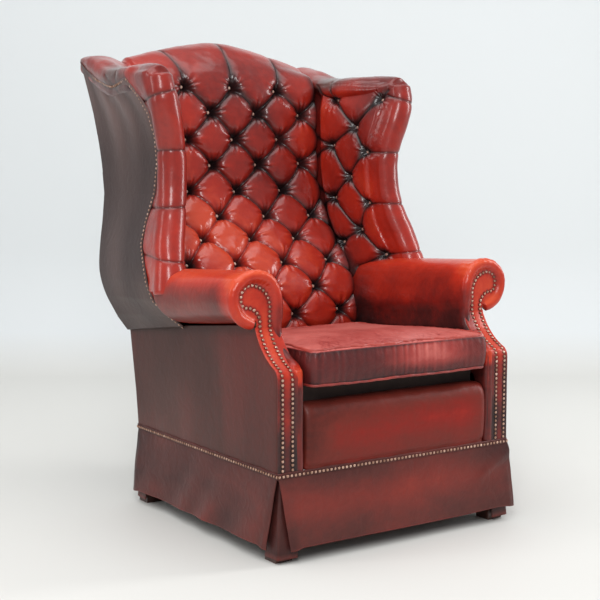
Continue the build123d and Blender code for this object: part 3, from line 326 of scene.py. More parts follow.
# %% From points to pieces
def grid_faces(rows, columns, loop=False):
    """Quads of a grid; loop joins its last column to its first."""
    across = columns if loop else columns - 1
    i, j = np.meshgrid(np.arange(rows - 1), np.arange(across), indexing="ij")
    a = (i * columns + j).ravel()
    b = (i * columns + (j + 1) % columns).ravel()
    return np.stack([a, b, b + columns, a + columns], axis=1)


def piece_from(name, points, faces, wear_and_shading=None):
    """A smooth-shaded mesh piece; points are about the seat box and are shifted here."""
    points = np.asarray(points, float).reshape(-1, 3) + [0, chair_shift, 0]
    mesh = bpy.data.meshes.new(name)
    mesh.from_pydata(points.tolist(), [], [list(map(int, face)) for face in faces])
    mesh.polygons.foreach_set("use_smooth", [True] * len(mesh.polygons))
    piece = bpy.data.objects.new(name, mesh)
    bpy.context.scene.collection.objects.link(piece)
    if wear_and_shading is not None:
        store(piece, "wear_and_shading", wear_and_shading)
    return piece


def store(piece, name, values):
    """Keeps a number from 0 to 1 at each point, such as its wear, where the material reads it."""
    attribute = piece.data.attributes.get(name) or piece.data.attributes.new(name, "FLOAT", "POINT")
    attribute.data.foreach_set("value", np.clip(np.asarray(values, float).ravel(), 0, 1).astype(np.float32))


def points_of(piece):
    """A piece's points as an array about the seat box."""
    flat = np.zeros(len(piece.data.vertices) * 3)
    piece.data.vertices.foreach_get("co", flat)
    return flat.reshape(-1, 3) - [0, chair_shift, 0]


def set_points(piece, points):
    """Moves a piece's points to places about the seat box."""
    places = (np.asarray(points) + [0, chair_shift, 0]).astype(np.float32)
    piece.data.vertices.foreach_set("co", places.ravel())
    piece.data.update()


def normals_of(piece):
    """The outward direction at each of a piece's points."""
    piece.data.update()
    flat = np.zeros(len(piece.data.vertices) * 3)
    piece.data.vertex_normals.foreach_get("vector", flat)
    return flat.reshape(-1, 3)


def face_out(piece, way, at=None):
    """Flips a piece's faces if they look against a direction, on average or at one point."""
    normal = normals_of(piece)
    if (normal.mean(0) if at is None else normal[at]) @ np.array(way, float) < 0:
        piece.data.flip_normals()


def dress(piece, material, body="chair", stands_for=()):
    """Material, body and the CAD nodes that a piece stands for."""
    piece.data.materials.clear()
    piece.data.materials.append(material)
    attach(piece, body)
    if stands_for:
        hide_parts(*stands_for)
    print(piece.name, len(piece.data.vertices), "points")
    return piece


def lengths_of(line):
    """How far along a line of short straight steps each of its points lies."""
    return np.concatenate([[0], np.cumsum(np.linalg.norm(np.diff(line, axis=0), axis=1))])


def evenly(line, count, closed=False):
    """Points at even distances along a line; a closed one ends where it starts."""
    length = lengths_of(line)
    wanted = np.linspace(0, length[-1], count, endpoint=not closed)
    return np.stack([np.interp(wanted, length, line[:, k]) for k in range(line.shape[1])], axis=1)


def smooth_path(points, count, closed=False):
    """A Catmull-Rom curve through the points, evenly spaced along its length."""
    p = np.asarray(points, float)
    if closed:
        p = np.vstack([p[-1], p, p[0], p[1]])
    else:
        p = np.vstack([2 * p[0] - p[1], p, 2 * p[-1] - p[-2]])
    dense = []
    for a, b, c, d in zip(p, p[1:], p[2:], p[3:]):
        t = np.linspace(0, 1, 24, endpoint=False)[:, None]
        dense.append(0.5 * (2 * b + (c - a) * t + (2 * a - 5 * b + 4 * c - d) * t ** 2
                            + (3 * b - a - 3 * c + d) * t ** 3))
    return evenly(np.vstack(dense + [p[-2][None]]), count, closed)


# %% [markdown]
# Deep buttoning pulls a thick pad in at each button, and the spare leather between two
# buttons is folded into a crease. One rule makes the back and both wings: list the
# creases as line segments on the flat pattern, and let each of them press the pad down
# to a sharp valley beside it. Where four creases meet, their valleys multiply and a deep
# pit forms by itself, which the button sits in.


# %% The buttoning rule
def smoothstep(low, high, value):
    """0 below low, 1 above high and a soft S between; low may be the larger one."""
    t = np.clip((value - low) / (high - low), 0, 1)
    return t * t * (3 - 2 * t)


def segment_distance(u, v, segment):
    """Distance from pattern points to a segment, and how far along it they lie."""
    (au, av), (bu, bv) = segment
    du, dv = bu - au, bv - av
    span = du * du + dv * dv
    t = np.clip(((u - au) * du + (v - av) * dv) / span, 0, 1)
    return np.hypot(u - au - t * du, v - av - t * dv), t


def box_round(u, v, segment, margin):
    """Which pattern points lie in the box round a segment, with a margin in metres."""
    (au, av), (bu, bv) = segment
    return ((u > min(au, bu) - margin) & (u < max(au, bu) + margin)
            & (v > min(av, bv) - margin) & (v < max(av, bv) + margin))


def tuft_height(u, v, creases, width, lift_mid, power):
    """0 in the creases to 1 on the crowns, over pattern points in metres."""
    height, lowest = np.ones_like(u), np.ones_like(u)
    for segment in creases:
        near = box_round(u, v, segment, width)
        d, t = segment_distance(u[near], v[near], segment)
        rise = (1 - (1 - np.clip(d / width, 0, 1)) ** 2.6) ** power
        floor = lift_mid * np.clip(4 * t * (1 - t), 0, 1)
        rise = floor + (1 - floor) * rise
        height[near] *= rise
        lowest[near] = np.minimum(lowest[near], rise)
    return height ** 0.4 * lowest ** 0.6


def crease_nearness(u, v, creases, width):
    """1 on a crease, falling to 0 a few widths away."""
    nearness = np.zeros_like(u)
    for segment in creases:
        near = box_round(u, v, segment, 3 * width)
        d, t = segment_distance(u[near], v[near], segment)
        nearness[near] = np.maximum(nearness[near], np.exp(-(d / width) ** 2))
    return nearness


def button_pits(u, v, buttons, radius=0.013):
    """How far each pattern point is drawn in by the nearest buttons, 0 to 1."""
    pit = np.zeros_like(u)
    for bu, bv in buttons:
        pit = np.maximum(pit, np.exp(-((u - bu) ** 2 + (v - bv) ** 2) / radius ** 2))
    return pit


def fan_wrinkles(u, v, buttons, reach, lobes=(9, 13)):
    """Fine wrinkles that spread from each button like a fan; each button has its own."""
    wrinkle = np.zeros_like(u)
    for index, (bu, bv) in enumerate(buttons):
        du, dv = u - bu, v - bv
        r = np.hypot(du, dv)
        near = r < 2.6 * reach
        angle = np.arctan2(dv[near], du[near])
        phases = np.random.default_rng(100 + index).uniform(0, 2 * pi, 4)
        wave = (np.cos(lobes[0] * angle + phases[0] + 1.5 * np.sin(2 * angle + phases[2]))
                + 0.8 * np.cos(lobes[1] * angle + phases[1] + 1.1 * np.sin(3 * angle + phases[3])))
        ring = np.exp(-((r[near] - 0.55 * reach) / (0.55 * reach)) ** 2) * np.clip(r[near] / 0.008, 0, 1)
        wrinkle[near] += wave * ring
    return wrinkle


def slow_noise(points, scale, seed):
    """Smooth noise over points or a grid of them: a few sine waves in random directions."""
    source = np.random.default_rng(seed)
    total = np.zeros(points.shape[:-1])
    for octave in range(9):
        direction = source.normal(size=3)
        direction *= scale * (0.6 + 0.22 * octave) / np.linalg.norm(direction)
        total += np.sin(points @ direction + source.uniform(0, 2 * pi)) / (1 + 0.3 * octave)
    return total / 3.2


# %% [markdown]
# The inside back is one tall pad. Its side view is a spine of button rows that leans back
# and then rolls over the crest. Across, the rows hold three and four buttons in turn, so
# that the creases between them draw diamonds. Above the top row the diamonds stop and
# three straight pleats run up over the roll.

# %% Spine of the back pad
row_y = np.array([0.212, 0.212, 0.222, 0.260, 0.310, 0.350, 0.385, 0.396, 0.397, 0.401, 0.411])
row_z = np.array([0.397, 0.463, 0.530, 0.591, 0.650, 0.709, 0.776, 0.848, 0.914, 0.984, 1.046])
button_pitch = 0.142
pillow_rise = 0.031
back_half = 0.2665
crest_z = 1.182
crest_drop_share, crest_drop_at = 0.0455, 0.2615


def crest_drop(x):
    """How much lower the crest is at x than in the middle."""
    return crest_drop_share * crest_z * np.abs(np.asarray(x) / crest_drop_at) ** 1.4


def spine_points(drop):
    """Side view from the seat deck over the crest to the outside back's top edge."""
    low = [(0.214, 0.345), (0.212, 0.365)]
    rows = list(zip(row_y, row_z))
    crest = [(0.4190, 1.086 - 0.3 * drop), (0.4315, 1.120 - 0.7 * drop), (0.454, 1.149 - drop),
             (0.482, 1.164 - drop), (0.510, 1.1655 - drop), (0.535, 1.147 - 0.95 * drop),
             (0.548, 1.122 - 0.6 * drop), (0.5525, 1.0895 - 0.35 * drop)]
    return low + rows + crest


# %% [markdown]
# The flat pattern is laid on the spine: x stays x, and the way up the spine is the pattern's
# length. Columns away from the middle have a lower crest, so only their top part shrinks.

# %% Pattern of the back pad
spine_rows, spine_columns, fine_steps = 430, 206, 1600
xs = np.linspace(-back_half, back_half, spine_columns)
back_surface = np.zeros((spine_rows, spine_columns, 3))
back_surface[..., 0] = xs[None]


middle = smooth_path(spine_points(0.0), fine_steps)
middle_length = lengths_of(middle)
spine_length = np.linspace(0, middle_length[-1], spine_rows)
row_v = np.array([middle_length[np.argmin(np.hypot(middle[:, 0] - y, middle[:, 1] - z))]
                  for y, z in zip(row_y, row_z)])
top_v = row_v[-1]
for column, x in enumerate(xs):
    line = smooth_path(spine_points(float(crest_drop(x))), fine_steps)
    length = lengths_of(line)
    stretch = (length[-1] - top_v) / (spine_length[-1] - top_v)
    wanted = np.where(spine_length < top_v, spine_length, top_v + (spine_length - top_v) * stretch)
    for k in (0, 1):
        back_surface[:, column, k + 1] = np.interp(wanted, length, line[:, k])
print("back pattern: %.3f wide, %.3f long" % (2 * back_half, spine_length[-1]))

# %% Buttons and creases of the back
back_buttons_uv = []
for row, v in enumerate(row_v):
    steps = (-1.5, -0.5, 0.5, 1.5) if row % 2 else (-1, 0, 1)
    if row > 0:
        back_buttons_uv += [(step * button_pitch, v) for step in steps]
hand_error = 0.0016
jitter = rng.normal(0, hand_error, (len(back_buttons_uv), 2))
back_buttons_uv = [(u + du, v + dv) for (u, v), (du, dv) in zip(back_buttons_uv, jitter)]
wings_edge = [(side * 2 * button_pitch, v) for v in row_v[::2] for side in (-1, 1)]
lattice = back_buttons_uv + wings_edge + [(step * button_pitch, row_v[0]) for step in (-1, 0, 1)]
back_creases = []
for i, first in enumerate(lattice):
    for second in lattice[i + 1:]:
        across, up = abs(first[0] - second[0]), abs(first[1] - second[1])
        if 0.4 * button_pitch < across < 0.62 * button_pitch and 0.03 < up < 0.09:
            back_creases.append((first, second))
crest_pleats = [((u, top_v), (u * 1.16, top_v + 0.155)) for u in (-button_pitch, 0.0, button_pitch)]
back_creases += crest_pleats
print("creases:", len(back_creases), "buttons:", len(back_buttons_uv))

# %% [markdown]
# The pattern's height moves each point out along the pad's own normal. The crest pleats
# fade out over the top, and the pad thins to its edge at the bottom, where it goes down
# behind the cushion.

# %% Relief of the buttoned back
crease_width, pillow_width = 0.0026, 0.042
u, v = np.meshgrid(xs, spine_length)
tuft = tuft_height(u, v, back_creases, pillow_width, 0.50, 0.46)
crease = crease_nearness(u, v, back_creases, crease_width)
over_crest = smoothstep(top_v, top_v + 0.10, v)
pleat = tuft_height(u, v, crest_pleats, 0.034, 0.0, 0.45)
tuft = tuft * (1 - over_crest) + over_crest * (1 - 0.42 * (1 - pleat))
pits = button_pits(u, v, back_buttons_uv)
fans = fan_wrinkles(u, v, back_buttons_uv, 0.034)
d_row = np.gradient(back_surface, axis=0)
d_column = np.gradient(back_surface, axis=1)
normal = np.cross(d_column, d_row)
normal /= np.linalg.norm(normal, axis=2, keepdims=True)
if normal[spine_rows // 2, spine_columns // 2, 1] > 0:
    normal = -normal
uneven = slow_noise(back_surface, 26.0, 3)
crest_share = smoothstep(top_v - 0.01, top_v + 0.10, v)
rise = pillow_rise * (1 - 0.66 * crest_share) * (1 + 0.07 * uneven)
rise = rise * smoothstep(0.0, 0.03, v)
pit_depth, fan_depth = 0.011, 0.0013
lift = rise * tuft - pit_depth * pits * (1 - 0.3 * crest_share) + fan_depth * fans * (1 - 0.5 * crest_share)
lift += 0.0008 * slow_noise(back_surface, 120.0, 5)
lift -= 0.0008 * crease
edge = smoothstep(back_half, back_half - 0.012, np.abs(u))
back_points = back_surface + normal * (lift * (0.35 + 0.65 * edge))[..., None]
print("pad stands out by up to", round(float(lift.max()), 4), "m")

# %% [markdown]
# The same height also says how exposed each point is. The pillows are rubbed bright on
# their crowns, and more widely so lower down. Dark glaze stays round the buttons and in the
# creases, and the crest is darker on its right. Beside the wings the pad is darkened as a
# painted shade, where the wings shade it.

# %% Wear and painted shade of the buttoned back
cloud = slow_noise(back_surface, 13.0, 8)
rubbed_high = smoothstep(0.66, 1.03, tuft)
rubbed_low = smoothstep(0.40, 0.90, tuft)
height_share = smoothstep(0.62, 1.0, back_points[..., 2])
back_wear_and_shading = 0.40 + 0.38 * (rubbed_high * height_share + rubbed_low * (1 - height_share))
back_wear_and_shading += 0.08 * fans - 0.62 * pits - 0.22 * crease * (1 - 0.5 * over_crest) + 0.26 * cloud
back_wear_and_shading -= 0.16 * smoothstep(0.88, 1.08, back_points[..., 2]) * (1 - over_crest)
dark_right = smoothstep(-0.02, 0.2, u) * smoothstep(top_v + 0.16, top_v + 0.05, v)
back_wear_and_shading += over_crest * (0.04 - 0.36 * dark_right)
# Painted shade: the pad's last centimetres beside each wing are darkened, where the wing shades them.
back_wear_and_shading -= 0.2 * smoothstep(top_v + 0.14, top_v + 0.22, v) + 0.3 * (1 - edge) * (1 - over_crest)
painted_shade_beside_wings = smoothstep(0.232, 0.262, np.abs(u)) * (1 - over_crest)
back_wear_and_shading -= 0.28 * smoothstep(0.1, 0.0, v) + 0.5 * painted_shade_beside_wings

# %% [markdown]
# The grid stops at the pad's sides, so three more columns on each side turn the hide in
# against the wings. Over the crest they reach further out, to close the gap to the wing's
# top roll.

# %% Sides of the back pad
turned_in = ((0.005, 0.004), (0.009, 0.013), (0.010, 0.034))
widening = smoothstep(top_v + 0.03, top_v + 0.09, v[:, 0]) * smoothstep(top_v + 0.26, top_v + 0.20, v[:, 0])
for end, way in ((0, -1), (-1, 1)):
    caps = []
    for beyond, depth in turned_in:
        cap = back_points[:, end] - normal[:, end] * depth * (1 + 0.3 * widening)[:, None]
        cap[:, 0] = way * (back_half + beyond * (1 + 2.3 * widening))
        caps.append(cap)
    caps = np.stack(caps[::way], axis=1)
    back_points = np.concatenate([caps, back_points] if end == 0 else [back_points, caps], axis=1)
    # The turned-in columns take the side column's colour darkened further, a painted shade of the gap against
    # the wing.
    shade = np.repeat(back_wear_and_shading[:, end][:, None], len(turned_in), axis=1) * 0.4
    back_wear_and_shading = np.concatenate([shade, back_wear_and_shading] if end == 0 else [back_wear_and_shading, shade], axis=1)
back_faces = grid_faces(spine_rows, spine_columns + 2 * len(turned_in))
back_cover = piece_from("inside_back_cover", back_points, back_faces, back_wear_and_shading)
face_out(back_cover, (0, -1, 0))
dress(back_cover, buttoned_hide, stands_for=["inside_back_pad"])


# %% [markdown]
# A covered button is a small dome of the same hide with a tight edge. All buttons of one
# pad are one piece: a lathe-turned profile copied to each pit and turned to face out.


# %% Covered buttons
def button_dome(radius=0.0062, height=0.0042, rings=7, around=20):
    """Points and faces of one button, standing on the plane z = 0."""
    profile = [(radius * sin(a), height * cos(a)) for a in np.linspace(0.06, pi / 2, rings)]
    profile += [(radius * 0.97, -0.0012), (radius * 0.75, -0.0022)]
    angles = np.linspace(0, 2 * pi, around, endpoint=False)
    points = [(r * cos(a), r * sin(a), z) for r, z in profile for a in angles]
    faces = grid_faces(len(profile), around, loop=True).tolist()
    points.append((0, 0, height))
    faces += [[len(points) - 1, i, (i + 1) % around] for i in range(around)]
    return np.array(points), faces


def set_buttons(name, places, outs, stands_for, height=0.0042, scale=0.8):
    """One piece of many buttons at places about the seat box, each facing its own way."""
    points, faces = button_dome(height=height)
    all_points, all_faces, wear_and_shading = [], [], []
    for place, out in zip(places, outs):
        turn = np.array(Vector(out).to_track_quat("Z", "Y").to_matrix())
        start = len(all_points) * len(points)
        all_points.append((points * scale) @ turn.T + place)
        all_faces += [[corner + start for corner in face] for face in faces]
        # The top of each dome is painted pale beige, a painted highlight.
        wear_and_shading.append(np.clip(points[:, 2] / height, 0, 1) * 0.6 + 0.35)
    piece = piece_from(name, np.vstack(all_points), all_faces, np.concatenate(wear_and_shading))
    return dress(piece, button_hide, stands_for=stands_for)


def surface_at(points, normals, u_grid, v_grid, where):
    """Place and direction at the pattern point nearest to where."""
    index = np.unravel_index(np.argmin(np.hypot(u_grid - where[0], v_grid - where[1])), u_grid.shape)
    return points[index], normals[index]


# The pale beige end of the button hide is the painted highlight on the domes' tops.
button_hide = antique_hide(
    "button_hide",
    [(0.0, dark_ox), (0.5, (0.2, 0.06, 0.045)),
     (1.0, (0.55, 0.36, 0.28))],
    roughness=0.3, blotch=0.1, blotch_scale=30.0)
button_stands = 0.0022
# back_points has the three side columns too, so each head sits about 8 mm left of its pit
spots = [surface_at(back_points, normal, u, v, where) for where in back_buttons_uv]
set_buttons("inside_back_buttons", [place + out * button_stands for place, out in spots],
            [out for _, out in spots], ["back_buttons"])

# %% [markdown]
# Brass nails hold the hide at the facings, the wings and the skirt. Their places are read
# from the solids: each nail is an island of connected points. The hide round a nail is
# pulled in and keeps its dark glaze, so the covers ask how near the nails are.


# %% Where the nails are
def nail_spots(name):
    """Middle of the foot and outward direction of every nail in a node."""
    mesh = nodes[name].data
    points, weld = np.unique(np.round(points_of(nodes[name]), 5), axis=0, return_inverse=True)
    edges = np.zeros(len(mesh.edges) * 2, dtype=int)
    mesh.edges.foreach_get("vertices", edges)
    edges = weld.ravel()[edges].reshape(-1, 2)
    label = np.arange(len(points))
    while True:
        low = np.minimum(label[edges[:, 0]], label[edges[:, 1]])
        lower = label.copy()
        np.minimum.at(lower, edges[:, 0], low)
        np.minimum.at(lower, edges[:, 1], low)
        if (lower == label).all():
            break
        label = lower
    spots = []
    for island in np.unique(label):
        own = points[label == island]
        middle = own.mean(0)
        axis = np.linalg.svd(own - middle)[2][2]
        height = (own - middle) @ axis
        out_from_axis = np.linalg.norm(own - middle - height[:, None] * axis, axis=1)
        rim = out_from_axis > 0.85 * out_from_axis.max()
        if height[~rim].mean() < height[rim].mean():
            axis, height = -axis, -height
        spots.append((middle + axis * (height[rim].min()), axis))
    return spots


nail_nodes = ["right_facing_nails", "left_facing_nails", "right_wing_nails", "left_wing_nails", "skirt_nails"]
nails = {name: nail_spots(name) for name in nail_nodes}
print("nails:", {name: len(spots) for name, spots in nails.items()})

# %% [markdown]
# The top edge of the outside wing panel dips in the middle and climbs to an ear at the
# rear. The nails along it follow the edge, a little below it.

# %% Top edge of the outside wing
panel_top = smooth_path([
    (0.228, 1.031), (0.245, 1.050), (0.262, 1.052), (0.300, 1.046),
    (0.345, 1.041), (0.390, 1.048), (0.420, 1.056), (0.450, 1.063),
    (0.500, 1.081), (0.543, 1.099), (0.568, 1.114)], 90)
nail_below_edge = 0.0045


def panel_top_z(y):
    """Height of the outside wing panel's top edge at y."""
    return np.interp(y, panel_top[:, 0], panel_top[:, 1])


for side in ("right", "left"):
    for place, _ in nails[side + "_wing_nails"]:
        if place[1] > 0.236 and place[2] > 1.0:
            place[2] = panel_top_z(place[1]) - nail_below_edge
nail_tree = KDTree(sum(len(spots) for spots in nails.values()))
for index, (place, _) in enumerate(spot for spots in nails.values() for spot in spots):
    nail_tree.insert(place, index)
nail_tree.balance()


def near_nails(points, reach):
    """1 at a nail's foot, falling to 0 some way off."""
    apart = np.array([nail_tree.find(point)[2] for point in points])
    return np.exp(-(apart / reach) ** 2)


# %% [markdown]
# A wing is a board with a thick roll nailed along its front edge, a wide roll over its top
# and a buttoned pad on its inside, all under one hide. Joining such forms by hand leaves
# seams, so the forms are put together as overlapping closed tubes and slabs, and a voxel
# remesh melts them into one skin. A few rounds of smoothing then round off the joins.


# %% Melting rough forms into one skin
def ring_tube(rings):
    """A closed tube through rings of points, with both ends closed by a fan."""
    rings = np.asarray(rings)
    count, around = rings.shape[:2]
    points = rings.reshape(-1, 3)
    faces = [list(map(int, face)) for face in grid_faces(count, around, loop=True)]
    ends = []
    for ring, flip in ((0, 1), (count - 1, -1)):
        centre = len(points) + len(ends)
        ends.append(rings[ring].mean(0))
        for i in range(around):
            a, b = ring * around + i, ring * around + (i + 1) % around
            faces.append([centre, b, a][::flip])
    return np.vstack([points, ends]), faces


def round_tube(path, radii, around=24):
    """Rings of a round tube along a path, each ring square to the path."""
    path = np.asarray(path, float)
    ahead = np.gradient(path, axis=0)
    ahead /= np.linalg.norm(ahead, axis=1, keepdims=True)
    side = np.cross(ahead[0], [1, 0, 0])
    if np.linalg.norm(side) < 0.1:
        side = np.cross(ahead[0], [0, 0, 1])
    angles = np.linspace(0, 2 * pi, around, endpoint=False)
    rings = []
    for place, direction, radius in zip(path, ahead, np.broadcast_to(radii, len(path))):
        side = side - direction * (side @ direction)
        side = side / np.linalg.norm(side)
        other = np.cross(direction, side)
        rings.append(place + radius * (np.cos(angles)[:, None] * side + np.sin(angles)[:, None] * other))
    return np.array(rings)


def melted(name, forms, voxel, rounds, finer=1):
    """One skin around overlapping closed forms."""
    points, faces = [], []
    for form_points, form_faces in forms:
        start = sum(len(p) for p in points)
        points.append(form_points)
        faces += [[corner + start for corner in face] for face in form_faces]
    steps = [("REMESH", {"mode": "VOXEL", "voxel_size": voxel}),
             ("SMOOTH", {"factor": 0.5, "iterations": rounds})]
    if finer:
        steps.append(("SUBSURF", {"levels": finer, "render_levels": finer}))
    return worked(piece_from(name, np.vstack(points), faces), steps)


def worked(piece, steps):
    """Runs modifiers over a piece, each given as its kind and settings, and keeps the result."""
    for kind, settings in steps:
        modifier = piece.modifiers.new(kind.lower(), kind)
        for key, value in settings.items():
            setattr(modifier, key, value)
    return applied(piece)


def backed(piece, thickness):
    """Gives a sheet of hide its thickness, on its inner side."""
    return worked(piece, [("SOLIDIFY", {"thickness": thickness, "offset": -1})])


def applied(piece):
    """Replaces a piece's mesh by what its modifiers make of it."""
    graph = bpy.context.evaluated_depsgraph_get()
    mesh = bpy.data.meshes.new_from_object(piece.evaluated_get(graph))
    old = piece.data
    piece.modifiers.clear()
    piece.data = mesh
    bpy.data.meshes.remove(old)
    mesh.name = piece.name
    mesh.polygons.foreach_set("use_smooth", [True] * len(mesh.polygons))
    return piece


def mirrored(piece, name):
    """The same piece on the other side of the chair, with its wear."""
    twin = piece.copy()
    twin.data = piece.data.copy()
    twin.name = name
    twin.data.name = name
    bpy.context.scene.collection.objects.link(twin)
    set_points(twin, points_of(twin) * [-1, 1, 1])
    twin.data.flip_normals()
    return twin


# %% [markdown]
# The wing's lines, from the arm up: the middle of the front roll, the line where the pad
# meets the back, and the front edge of the outside panel. All wing meshes read these.

# %% Lines of the wing
wing_z = np.array([0.560, 0.604, 0.656, 0.710, 0.780, 0.850, 0.911, 0.965, 1.009, 1.049])
roll_x = np.array([0.362, 0.358, 0.348, 0.332, 0.320, 0.316, 0.325, 0.340, 0.351, 0.355])
roll_y = np.array([0.078, 0.088, 0.108, 0.128, 0.142, 0.146, 0.140, 0.128, 0.124, 0.137])
join_y = np.array([0.276, 0.280, 0.300, 0.327, 0.352, 0.363, 0.366, 0.368, 0.372, 0.385])
panel_x = np.array([0.392, 0.388, 0.378, 0.363, 0.350, 0.348, 0.354, 0.366, 0.378, 0.382])
panel_y = np.array([0.128, 0.152, 0.185, 0.188, 0.166, 0.154, 0.153, 0.163, 0.195, 0.255])
join_x = 0.263
roll_radius = 0.0365


def wing_line(values, z):
    """A smooth reading of one of the wing's lines at heights z."""
    z = np.asarray(z, float)
    return sum(np.interp(z + step, wing_z, values) for step in (0, -0.012, 0.012)) / 3


# %% Front and top roll of a wing
heights = np.linspace(0.545, 1.052, 60)
front_path = np.stack([wing_line(roll_x, heights), wing_line(roll_y, heights), heights], axis=1)
over_top = smooth_path([
    (0.355, 0.137, 1.045), (0.352, 0.168, 1.051), (0.343, 0.235, 1.0555),
    (0.333, 0.310, 1.0565), (0.331, 0.389, 1.061), (0.331, 0.467, 1.085),
    (0.334, 0.517, 1.100), (0.340, 0.553, 1.110), (0.344, 0.571, 1.116)], 60)
front_radius = np.interp(heights, [0.545, 0.62, 0.8, 1.0, 1.05], [0.040, 0.037, 0.0355, 0.0355, 0.0315])
front_roll = ring_tube(round_tube(front_path, front_radius))
top_radius = np.interp(np.arange(60), [0, 8, 16, 44, 52, 57, 59],
                       [0.0315, 0.0305, 0.030, 0.030, 0.024, 0.015, 0.009])
top_roll = ring_tube(round_tube(over_top, top_radius))
print("rolls:", len(front_roll[0]), len(top_roll[0]), "points")

# %% [markdown]
# Seen from above, each level of the wing is one closed outline: pad inside, board, panel
# and the tuck behind the front roll. Outlines at many heights make the slab.

# %% Board and pad of a wing
slab_rings = []
for z in np.linspace(0.55, 1.062, 44):
    cx, cy, jy = wing_line(roll_x, z), wing_line(roll_y, z), wing_line(join_y, z)
    px, py = wing_line(panel_x, z), wing_line(panel_y, z)
    flare = smoothstep(0.99, 1.062, z)
    front = (cx - 0.030 + 0.010 * flare, cy + 0.006)
    rear = (join_x + 0.022 * flare, jy)
    corners = [front, (0.5 * (front[0] + rear[0]) - 0.003, 0.5 * (front[1] + rear[1])), rear,
               (rear[0] + 0.004, jy + 0.055), (0.305, jy + 0.06), (px - 0.034, py + 0.05),
               (px - 0.030, py + 0.010), (px - 0.010, py + 0.003), (px - 0.0005, py + 0.0012),
               (px + 0.0002, py - 0.009), (0.45 * px + 0.55 * (cx + 0.036), 0.45 * py + 0.55 * cy + 0.002),
               (cx + 0.0352, cy + 0.004), (cx + 0.018, cy - 0.010), (cx, cy - 0.006)]
    slab_rings.append([(x, y, z) for x, y in smooth_path(corners, 72, closed=True)])
inner_slab = ring_tube(slab_rings)
print("board and pad:", len(inner_slab[0]), "points")

# %% [markdown]
# The hide of the inside climbs over the top roll and comes down outside to the panel's
# edge, where it is nailed. This saddle is a tube whose sections follow that edge.

# %% Saddle over the top of a wing
panel_reach = [
    (0.140, 0.3795), (0.200, 0.3790), (0.260, 0.3810), (0.300, 0.3770),
    (0.345, 0.3725), (0.390, 0.3690), (0.430, 0.3650), (0.470, 0.3610),
    (0.520, 0.3570), (0.554, 0.3545), (0.580, 0.3540)]
saddle_sections = (
    (0.163, 0.325, -0.001, 1.0775), (0.200, 0.306, 0.001, 1.0815),
    (0.240, 0.288, 0.0035, 1.0845), (0.296, 0.268, 0.0045, 1.0862),
    (0.345, 0.265, 0.005, 1.0865), (0.389, 0.264, 0.0055, 1.0885),
    (0.430, 0.263, 0.005, 1.0985), (0.467, 0.263, 0.005, 1.1130),
    (0.520, 0.266, 0.004, 1.1285), (0.554, 0.288, 0.003, 1.1300),
    (0.577, 0.318, 0.002, 1.1290))
cap_rings = []
for y, inner, proud, top in saddle_sections:
    edge_z = panel_top_z(y)
    flat_x = np.interp(y, *np.transpose(panel_reach))
    outer, middle = flat_x + proud, 0.5 * (inner + flat_x)
    high = top - edge_z
    corners = [(inner, top - 0.030), (inner + 0.010, top - 0.009), (middle, top),
               (outer - 0.012, top - 0.12 * high), (outer, edge_z + 0.52 * high),
               (outer - 0.001, edge_z + 0.005), (flat_x + 0.0008, edge_z - 0.004),
               (flat_x + 0.0005, edge_z - 0.022), (flat_x - 0.012, edge_z - 0.032),
               (middle, edge_z - 0.030)]
    cap_rings.append([(x, y, z) for x, z in smooth_path(corners, 64, closed=True)])
saddle = ring_tube(cap_rings)

edge_path = np.column_stack([wing_line(panel_x, heights) - 0.0065, wing_line(panel_y, heights) + 0.0015,
                             heights])
edge_path = np.vstack([[(0.366, 0.105, 0.512), (0.380, 0.122, 0.535)], edge_path[1:-1]])
panel_edge = ring_tube(round_tube(edge_path, 0.0062, 12))
print("saddle and edge:", len(saddle[0]), len(panel_edge[0]), "points")

# %% [markdown]
# The wing's buttons aren't on an even lattice: they follow the wing's own shape. So here
# the creases are written as pairs of button names. On the inner face the pattern runs
# back along y and up along z. Round the front roll it keeps running along the arc, so a
# pleat can leave a button and cross the whole roll to the nails.

# %% Buttons and creases of a wing
wing_buttons = {"a": (0.310, 1.022), "b": (0.155, 1.017), "c": (0.226, 0.947), "d": (0.178, 0.881),
                "e": (0.308, 0.901), "f": (0.235, 0.816), "g": (0.297, 0.760), "h": (0.172, 0.748),
                "i": (0.204, 0.676), "j": (0.262, 0.640), "k": (0.130, 0.612)}
roll_end = -0.06
wing_pairs = ["ac", "bc", "cd", "ce", "df", "ef", "fg", "fh", "hi", "gi", "ij", "ik"]
wing_creases = [(wing_buttons[a], wing_buttons[b]) for a, b in wing_pairs]
wing_creases += [
    ((0.135, 1.028), (roll_end, 0.986)), (wing_buttons["d"], (roll_end, 0.876)),
    (wing_buttons["h"], (roll_end, 0.744)), (wing_buttons["k"], (roll_end, 0.634)),
    (wing_buttons["a"], (0.385, 1.068)), (wing_buttons["e"], (0.40, 0.935)),
    (wing_buttons["e"], (0.40, 0.865)), (wing_buttons["g"], (0.40, 0.800)),
    (wing_buttons["g"], (0.38, 0.715)), (wing_buttons["j"], (0.32, 0.672)),
    (wing_buttons["j"], (0.30, 0.600)), (wing_buttons["k"], (0.20, 0.575)),
    (wing_buttons["a"], (0.322, 1.075)), (wing_buttons["b"], (0.135, 1.042))]
print("wing:", len(wing_buttons), "buttons,", len(wing_creases), "creases")


# %% [markdown]
# The melted skin is pushed out between the creases on the inner face, and only dented by
# them on the rolls. Behind, it is held back under the outside back's edge. The wear shows
# where heads and hands rub, and dust lies in the saddle of the top roll. Where the inner
# face meets the back it is darkened as a painted shade of that corner.

# %% Cover of a wing
wing_pillow_width, valley_width = 0.038, 0.010
wing_rise, wing_pit_depth = 0.017, 0.006
behind_panel = 0.004
wing_top_z = 1.0851


